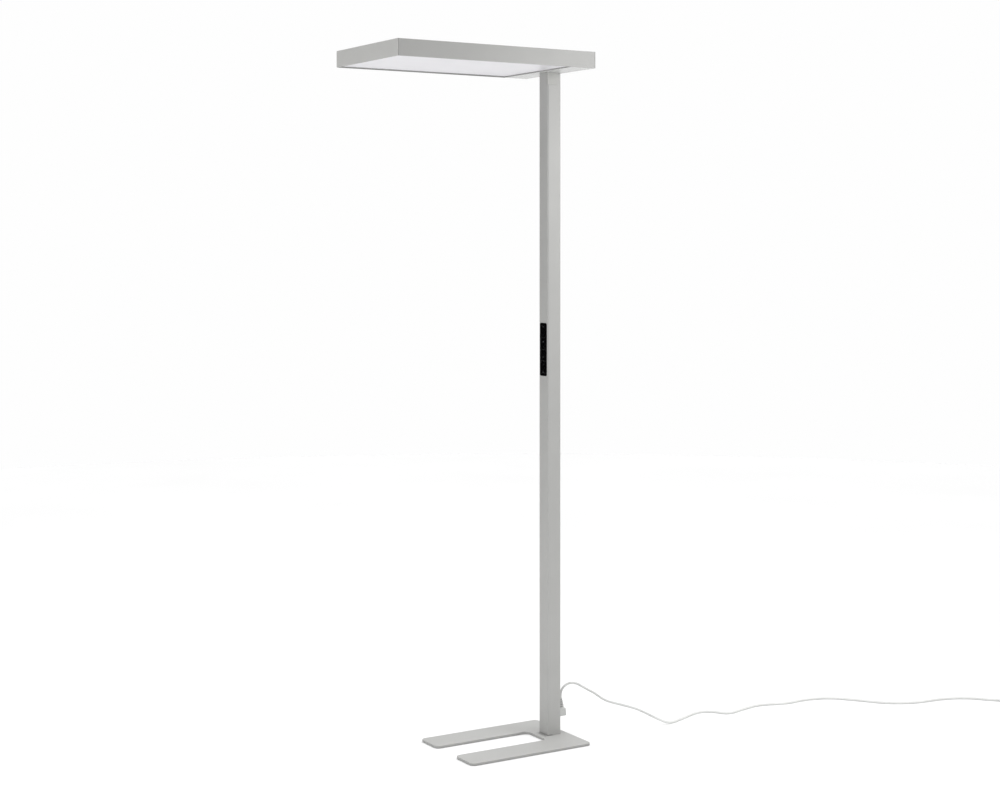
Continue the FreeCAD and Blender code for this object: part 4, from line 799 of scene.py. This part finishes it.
class FLOORLAMP_OT_fittings(bpy.types.Operator):
    """Finish screws, blocks, cables, connectors and pads"""
    bl_idname = "floor_lamp.fittings"
    bl_label = "Fittings"

    def execute(self, context):
        finishes = context.scene.floor_lamp_finishes
        paint_nodes(extruded_aluminium(), "foot_block", "neck_spigot", "corner_cleats")
        paint_nodes(zinc_plate(), "foot_screws", "post_screws", "neck_screws", "neck_bolts",
                    "cleat_grubs", "cover_screws", "driver_screws", "board_screws")
        paint_nodes(nickel_plate(), "inlet_blades", "plug_pins")
        paint_nodes(rubber(), "base_pads")
        paint_nodes(loop_tape(), "coil_tie")
        paint_nodes(moulded_plastic("white_polycarbonate", linear("E2E2DE"), 0.4, 0.8),
                    "led_driver", "terminal_block", "board_socket")
        paint_nodes(moulded_plastic("grey_polyamide", linear("8E9191"), 0.5, 0.7), "mains_inlet")
        look = bpy.data.materials.get("pvc_lead_sheath")
        look = look or lead_sheath(finishes.lead)
        paint_nodes(look, "supply_cable", "signal_cable", "driver_lead", "led_leads")
        paint_nodes(ribbed_moulding(finishes.ends), "lead_connector")
        return {"FINISHED"}


def softbox(name, place, target, size, power):
    """Area light that the camera doesn't see."""
    data = bpy.data.lights.new(name, "AREA")
    data.shape = "RECTANGLE"
    data.size, data.size_y = size
    data.energy = power
    light = bpy.data.objects.new(name, data)
    light.location = place
    light.rotation_mode = "QUATERNION"
    light.rotation_quaternion = (Vector(target) - Vector(place)).to_track_quat("-Z", "Y")
    light.visible_camera = False
    bpy.context.scene.collection.objects.link(light)


def white_studio(settings):
    """World: white to the camera, and light that comes mostly from above, with a dark flag."""
    world = bpy.data.worlds.new("white_studio")
    world.use_nodes = True
    tree = world.node_tree
    tree.nodes.clear()
    way = add_node(tree, "ShaderNodeTexCoord").outputs["Generated"]
    height = add_node(tree, "ShaderNodeSeparateXYZ", links={"Vector": way}).outputs["Z"]
    above = add_node(tree, "ShaderNodeMapRange",
                     {"From Min": 0.0, "From Max": 1.0, "To Min": settings.side_light,
                      "To Max": settings.sky_light}, {"Value": height})
    toward = add_node(tree, "ShaderNodeVectorMath", {1: FLAG_WAY}, {0: way},
                      operation="DOT_PRODUCT")
    flag = add_node(tree, "ShaderNodeMapRange",
                    {"From Min": FLAG_SPAN[0], "From Max": FLAG_SPAN[1], "To Min": 1.0,
                     "To Max": 0.02}, {"Value": toward.outputs["Value"]},
                    interpolation_type="SMOOTHSTEP")
    light = add_node(tree, "ShaderNodeMath", links={0: above.outputs[0], 1: flag.outputs[0]},
                     operation="MULTIPLY")
    behind = add_node(tree, "ShaderNodeVectorMath", {1: SCREEN_WAY}, {0: way},
                      operation="DOT_PRODUCT")
    screen = add_node(tree, "ShaderNodeMapRange",
                      {"From Min": SCREEN_SPAN[0], "From Max": SCREEN_SPAN[1],
                       "To Max": settings.screen_light},
                      {"Value": behind.outputs["Value"]}, interpolation_type="SMOOTHSTEP")
    low = add_node(tree, "ShaderNodeMath", {1: SCREEN_TOP}, {0: height}, operation="LESS_THAN")
    low_screen = add_node(tree, "ShaderNodeMath",
                          links={0: screen.outputs[0], 1: low.outputs[0]}, operation="MULTIPLY")
    light = add_node(tree, "ShaderNodeMath", links={0: light.outputs[0], 1: low_screen.outputs[0]},
                     operation="MAXIMUM")
    lamp = add_node(tree, "ShaderNodeBackground", {"Color": (1, 1, 1, 1)},
                    {"Strength": light.outputs[0]})
    seen = add_node(tree, "ShaderNodeBackground", {"Color": settings.backdrop, "Strength": 1.0})
    ray = add_node(tree, "ShaderNodeLightPath")
    mixed = add_node(tree, "ShaderNodeMixShader",
                     links={0: ray.outputs["Is Camera Ray"], 1: lamp.outputs[0],
                            2: seen.outputs[0]})
    add_node(tree, "ShaderNodeOutputWorld", links={"Surface": mixed.outputs[0]})
    return world


class FLOORLAMP_OT_studio(bpy.types.Operator):
    """Set up the pale floor and the soft studio light"""
    bl_idname = "floor_lamp.studio"
    bl_label = "Studio"

    def execute(self, context):
        settings = context.scene.floor_lamp_studio
        shape = bmesh.new()
        bmesh.ops.create_circle(shape, cap_ends=True, radius=FLOOR_RADIUS,
                                segments=FLOOR_SIDES)
        mesh = bpy.data.meshes.new("studio_floor")
        shape.to_mesh(mesh)
        shape.free()
        look, tree, shader, place = start_material(
            "matt_studio_floor", Base_Color=settings.floor, Roughness=0.9)
        vary(tree, shader, noise(tree, place, 900.0, 2.0), settings.floor, 0.99, 1.01)
        mesh.materials.append(look)
        floor = bpy.data.objects.new("studio_floor", mesh)
        context.scene.collection.objects.link(floor)

        context.scene.world = white_studio(settings)
        for name, place, target, size, power in SOFTBOXES:
            softbox(name, place, target, size, getattr(settings, power))
        context.scene.view_settings.view_transform = "Standard"
        context.scene.view_settings.look = "None"
        return {"FINISHED"}


class FLOORLAMP_PT_panel(bpy.types.Panel):
    """The floor lamp's steps and settings"""
    bl_idname = "FLOORLAMP_PT_panel"
    bl_label = "Floor lamp"
    bl_space_type = "VIEW_3D"
    bl_region_type = "UI"
    bl_category = "Floor lamp"

    def draw(self, context):
        for step in STEPS:
            self.layout.operator(step.bl_idname)
        for group in ("floor_lamp_finishes", "floor_lamp_lead", "floor_lamp_studio"):
            settings = getattr(context.scene, group)
            box = self.layout.box()
            for name in settings.__annotations__:
                box.prop(settings, name)


GROUPS = {
    "floor_lamp_finishes": FLOORLAMP_PG_finishes,
    "floor_lamp_lead": FLOORLAMP_PG_lead,
    "floor_lamp_studio": FLOORLAMP_PG_studio,
}
STEPS = [FLOORLAMP_OT_camera, FLOORLAMP_OT_mains_plug, FLOORLAMP_OT_mains_lead,
         FLOORLAMP_OT_coated_shell, FLOORLAMP_OT_light_panels, FLOORLAMP_OT_key_strip,
         FLOORLAMP_OT_fittings, FLOORLAMP_OT_studio]


def register():
    for made in [*GROUPS.values(), *STEPS, FLOORLAMP_PT_panel]:
        bpy.utils.register_class(made)
    for name, group in GROUPS.items():
        setattr(bpy.types.Scene, name, bpy.props.PointerProperty(type=group))


def unregister():
    for name in GROUPS:
        delattr(bpy.types.Scene, name)
    for made in [FLOORLAMP_PT_panel, *reversed(STEPS), *reversed(GROUPS.values())]:
        bpy.utils.unregister_class(made)


def main():
    register()
    bpy.ops.floor_lamp.camera()
    bpy.ops.floor_lamp.mains_plug()
    bpy.ops.floor_lamp.mains_lead()
    bpy.ops.floor_lamp.coated_shell()
    bpy.ops.floor_lamp.light_panels()
    bpy.ops.floor_lamp.key_strip()
    bpy.ops.floor_lamp.fittings()
    bpy.ops.floor_lamp.studio()


if __name__ == "__main__":
    main()
